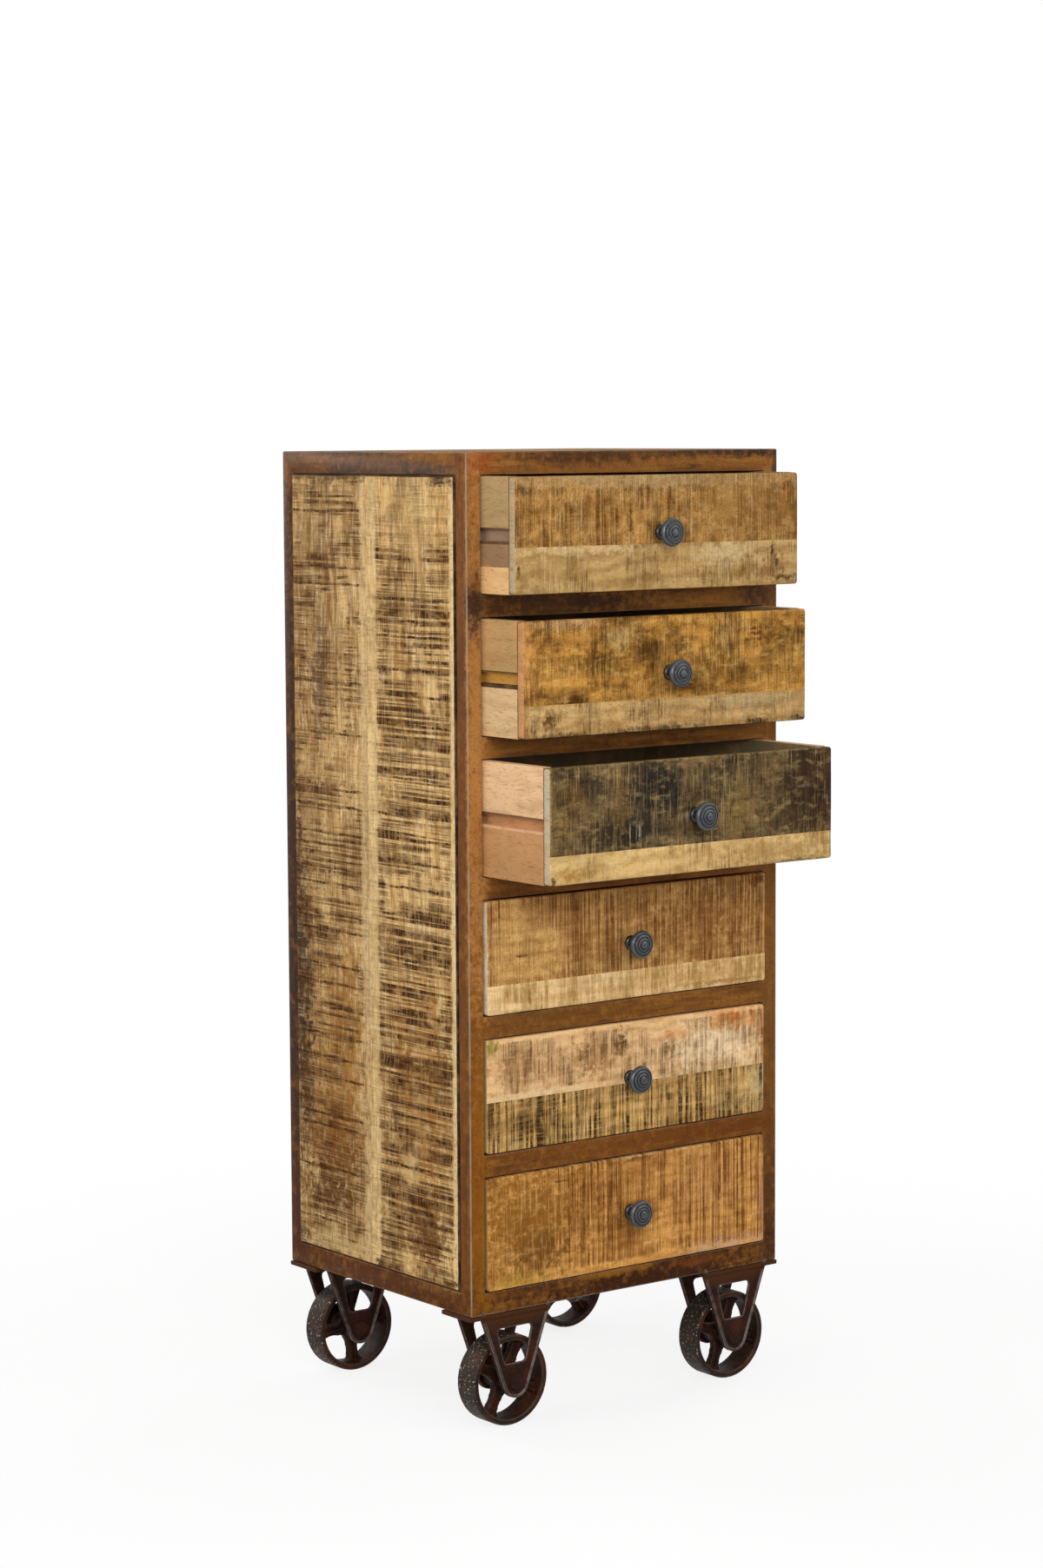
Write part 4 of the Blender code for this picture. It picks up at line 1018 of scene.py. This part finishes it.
rim = turn("rim", RIM_TURNING, steps=96, closed=True)
hub = turn("hub", HUB_TURNING, steps=48, closed=True)
spoke = block("spoke", (SPOKE_START, -SPOKE_HALF_DEPTH, -SPOKE_HALF_WIDTH),
              (SPOKE_END, SPOKE_HALF_DEPTH, SPOKE_HALF_WIDTH))
edit(spoke)
slice_at(X, SPOKE_CUTS)
slice_at(Z, (-RIB_WIDTH / 2, RIB_WIDTH / 2))
pick(lambda middle, normal: abs(normal.y) > 0.9 and abs(middle.z) < RIB_WIDTH / 3)
bpy.ops.mesh.extrude_region_shrink_fatten(TRANSFORM_OT_shrink_fatten={"value": RIB_HEIGHT})
for place, flare in SPOKE_FLARES:
    choose("VERT", lambda point: abs(point.co.x - place) < 1e-5 and abs(point.co.z) > 0.004)
    bpy.ops.transform.resize(value=(1, 1, flare), center_override=(place, 0, 0))
close()
spokes = [copy_of(spoke, f"spoke_{k}", Matrix.Rotation(k * math.pi / 2, 4, "Y")) for k in range(4)]
bpy.data.objects.remove(spoke)
wheel = join("wheel", [rim, hub, *spokes])
soften(wheel, voxel=0.0009, passes=4, keep=0.4)
rub_ridges(wheel, reach=0.00016)
mark(wheel, "tread", lambda point: math.hypot(point.co.x, point.co.z) > TREAD_RADIUS)

wheel_iron = cast_iron("sand_cast_wheel_iron", "#27150e", "#4a2413", "#130c0a", "#544a40", speck="#c4beb0")
# The angle of one spoke from +X towards +Z, in degrees.
WHEEL_TURNS = {"front_left": 63.0, "front_right": 70.0, "back_left": 96.0, "back_right": 40.0}
for corner in CORNERS:
    low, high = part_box(f"caster_wheel_{corner}")
    place = Matrix.Translation((low + high) / 2) @ Matrix.Rotation(-math.radians(WHEEL_TURNS[corner]), 4, "Y")
    cast = copy_of(wheel, f"wheel_{corner}", place)
    coat(cast, [wheel_iron])
    fit(cast, f"wheel_{corner}", "cast_iron", f"caster_wheel_{corner}")
bpy.data.objects.remove(wheel)


# Caster brackets: the solids' own shape with the edges of a casting, and weld beads where the rims meet the rail.

bracket_iron = cast_iron("oiled_bracket_iron", "#28160f", "#462214", "#150d0b", "#746a62",
                         head=(0.112, "#432610"))
for corner in CORNERS:
    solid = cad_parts[f"caster_bracket_{corner}"]
    bracket = copy_of(solid, f"bracket_{corner}", Matrix.Identity(4))
    for key in [key for key in bracket.keys() if key.startswith("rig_")]:
        del bracket[key]
    bracket.parent = None
    edit(bracket)
    bpy.ops.mesh.select_all(action="SELECT")
    bpy.ops.mesh.remove_doubles(threshold=0.00001)
    close()
    soften(bracket, voxel=0.0008, passes=2, keep=0.35)
    low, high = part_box(f"caster_bracket_{corner}")
    wheel_low, wheel_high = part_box(f"caster_wheel_{corner}")
    rub_ridges(bracket, reach=0.00014, axle=(wheel_low + wheel_high) / 2, face=low.y, top=high.z)
    coat(bracket, [bracket_iron])
    fit(bracket, "case", "cast_iron", f"caster_bracket_{corner}")

# Half sizes of a bead, its places from the axle's middle, behind the frame's front and under the frame, in metres,
# and its lean along the rim in radians.
BEAD_SIZE = (0.0034, 0.0026, 0.0062)
BEAD_OFFSET, BEAD_BEHIND, BEAD_UNDER = 0.0452, 0.0008, 0.0006
BEAD_LEAN = 0.36
bpy.ops.mesh.primitive_uv_sphere_add(segments=14, ring_count=10, radius=1)
bead = named("bead")
edit(bead)
bpy.ops.mesh.select_all(action="SELECT")
bpy.ops.transform.resize(value=BEAD_SIZE)
close()
shape_by(bead, "DISPLACE", texture=sawn_surface, texture_coords="LOCAL", strength=0.0009, mid_level=0.5)
smooth_below(bead, 60)
beads = []
for side in ("left", "right"):
    low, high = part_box(f"caster_wheel_front_{side}")
    axle = (low.x + high.x) / 2
    for lean in (-1, 1):
        spot = Matrix.Translation((axle + lean * BEAD_OFFSET, front_y + BEAD_BEHIND, base_z - BEAD_UNDER))
        beads.append(copy_of(bead, f"bead_{side}_{lean}", spot @ Matrix.Rotation(lean * BEAD_LEAN, 4, "Y")))
bpy.data.objects.remove(bead)
welds = join("caster_welds", beads)
mark(welds, "rubbed", lambda point: 0.5 * (point.co.z > base_z))
coat(welds, [bracket_iron])
fit(welds, "case", "cast_iron")


# Camera, light, floor and background.

camera = bpy.data.objects.new("camera", bpy.data.cameras.new("camera"))
bpy.context.scene.collection.objects.link(camera)
ahead = Vector((math.sin(CAMERA_YAW) * math.cos(CAMERA_PITCH), math.cos(CAMERA_YAW) * math.cos(CAMERA_PITCH),
                math.sin(CAMERA_PITCH)))
right = Vector((math.cos(CAMERA_YAW), -math.sin(CAMERA_YAW), 0))
up = right.cross(ahead)
rolled_right = right * math.cos(CAMERA_ROLL) + up * math.sin(CAMERA_ROLL)
rolled_up = up * math.cos(CAMERA_ROLL) - right * math.sin(CAMERA_ROLL)
turned = Matrix((rolled_right, rolled_up, -ahead)).transposed().to_4x4()
camera.matrix_world = Matrix.Translation(CAMERA_PLACE) @ turned
camera.data.lens = CAMERA_LENS
camera.data.sensor_width = CAMERA_SENSOR
bpy.context.scene.camera = camera


def lamp(name, place, aim, size, power):
    """A soft box of light: place, aim and size in metres, power in watts."""
    light = bpy.data.lights.new(name, "AREA")
    light.shape = "SQUARE"
    light.size = size
    light.energy = power
    source = bpy.data.objects.new(name, light)
    source.location = place
    source.rotation_euler = (Vector(aim) - Vector(place)).to_track_quat("-Z", "Y").to_euler()
    bpy.context.scene.collection.objects.link(source)


lamp("key_soft_box", (-1.5, -2.9, 1.7), (0, 0, 0.6), size=1.6, power=70)
lamp("side_soft_box", (-3.0, 0.2, 1.4), (0, 0.1, 0.6), size=1.6, power=38)
lamp("fill_soft_box", (1.8, -2.6, 1.4), (0, 0, 0.6), size=1.8, power=22)
lamp("right_soft_box", (3.0, 0.9, 1.4), (0, 0.1, 0.6), size=1.6, power=36)
lamp("back_soft_box", (-0.6, 3.3, 1.6), (0, 0.1, 0.6), size=1.8, power=44)

world = bpy.data.worlds.new("studio")
bpy.context.scene.world = world
world.use_nodes = True
sky = world.node_tree
sky.nodes.clear()
path = add(sky, "LightPath")
seen = add(sky, "Math", {0: path.outputs["Is Camera Ray"], 1: path.outputs["Is Glossy Ray"]}, operation="MAXIMUM")
seen = add(sky, "Math", {0: seen, 1: path.outputs["Is Transmission Ray"]}, operation="MAXIMUM")
dim = add(sky, "Background", {"Color": linear("#ffffff"), "Strength": 0.33})
white = add(sky, "Background", {"Color": linear("#ffffff"), "Strength": 1.0})
lit = add(sky, "MixShader", {0: seen, 1: dim, 2: white})
add(sky, "OutputWorld", {"Surface": lit})

FLOOR_RADIUS = 1.6
bpy.ops.mesh.primitive_circle_add(vertices=96, radius=FLOOR_RADIUS, fill_type="NGON", location=(0, 0, 0))
studio_floor = named("studio_floor")
floor_paint, tree, shader, place = finish("matt_white_floor_paint", Roughness=0.9, Specular_IOR_Level=0.1)
shader.inputs["Base Color"].default_value = linear("#f4f4f4")
spread = add(tree, "Mapping", {"Vector": place, "Scale": [FLOOR_RADIUS] * 3}, vector_type="TEXTURE")
reach = add(tree, "TexGradient", {"Vector": spread}, gradient_type="SPHERICAL")
# Under the camera the paint is thinned, so that the floor is as white as the background and keeps the shadow.
solid = add(tree, "MapRange", {"Value": reach.outputs["Fac"], "From Max": 0.7, "To Max": 0.18},
            interpolation_type="SMOOTHSTEP")
faded = add(tree, "MixShader", {0: solid, 1: add(tree, "BsdfTransparent"), 2: shader.outputs["BSDF"]})
wire(tree, tree.nodes["Material Output"], {"Surface": faded})
coat(studio_floor, [floor_paint])

bpy.context.scene.view_settings.view_transform = "Standard"
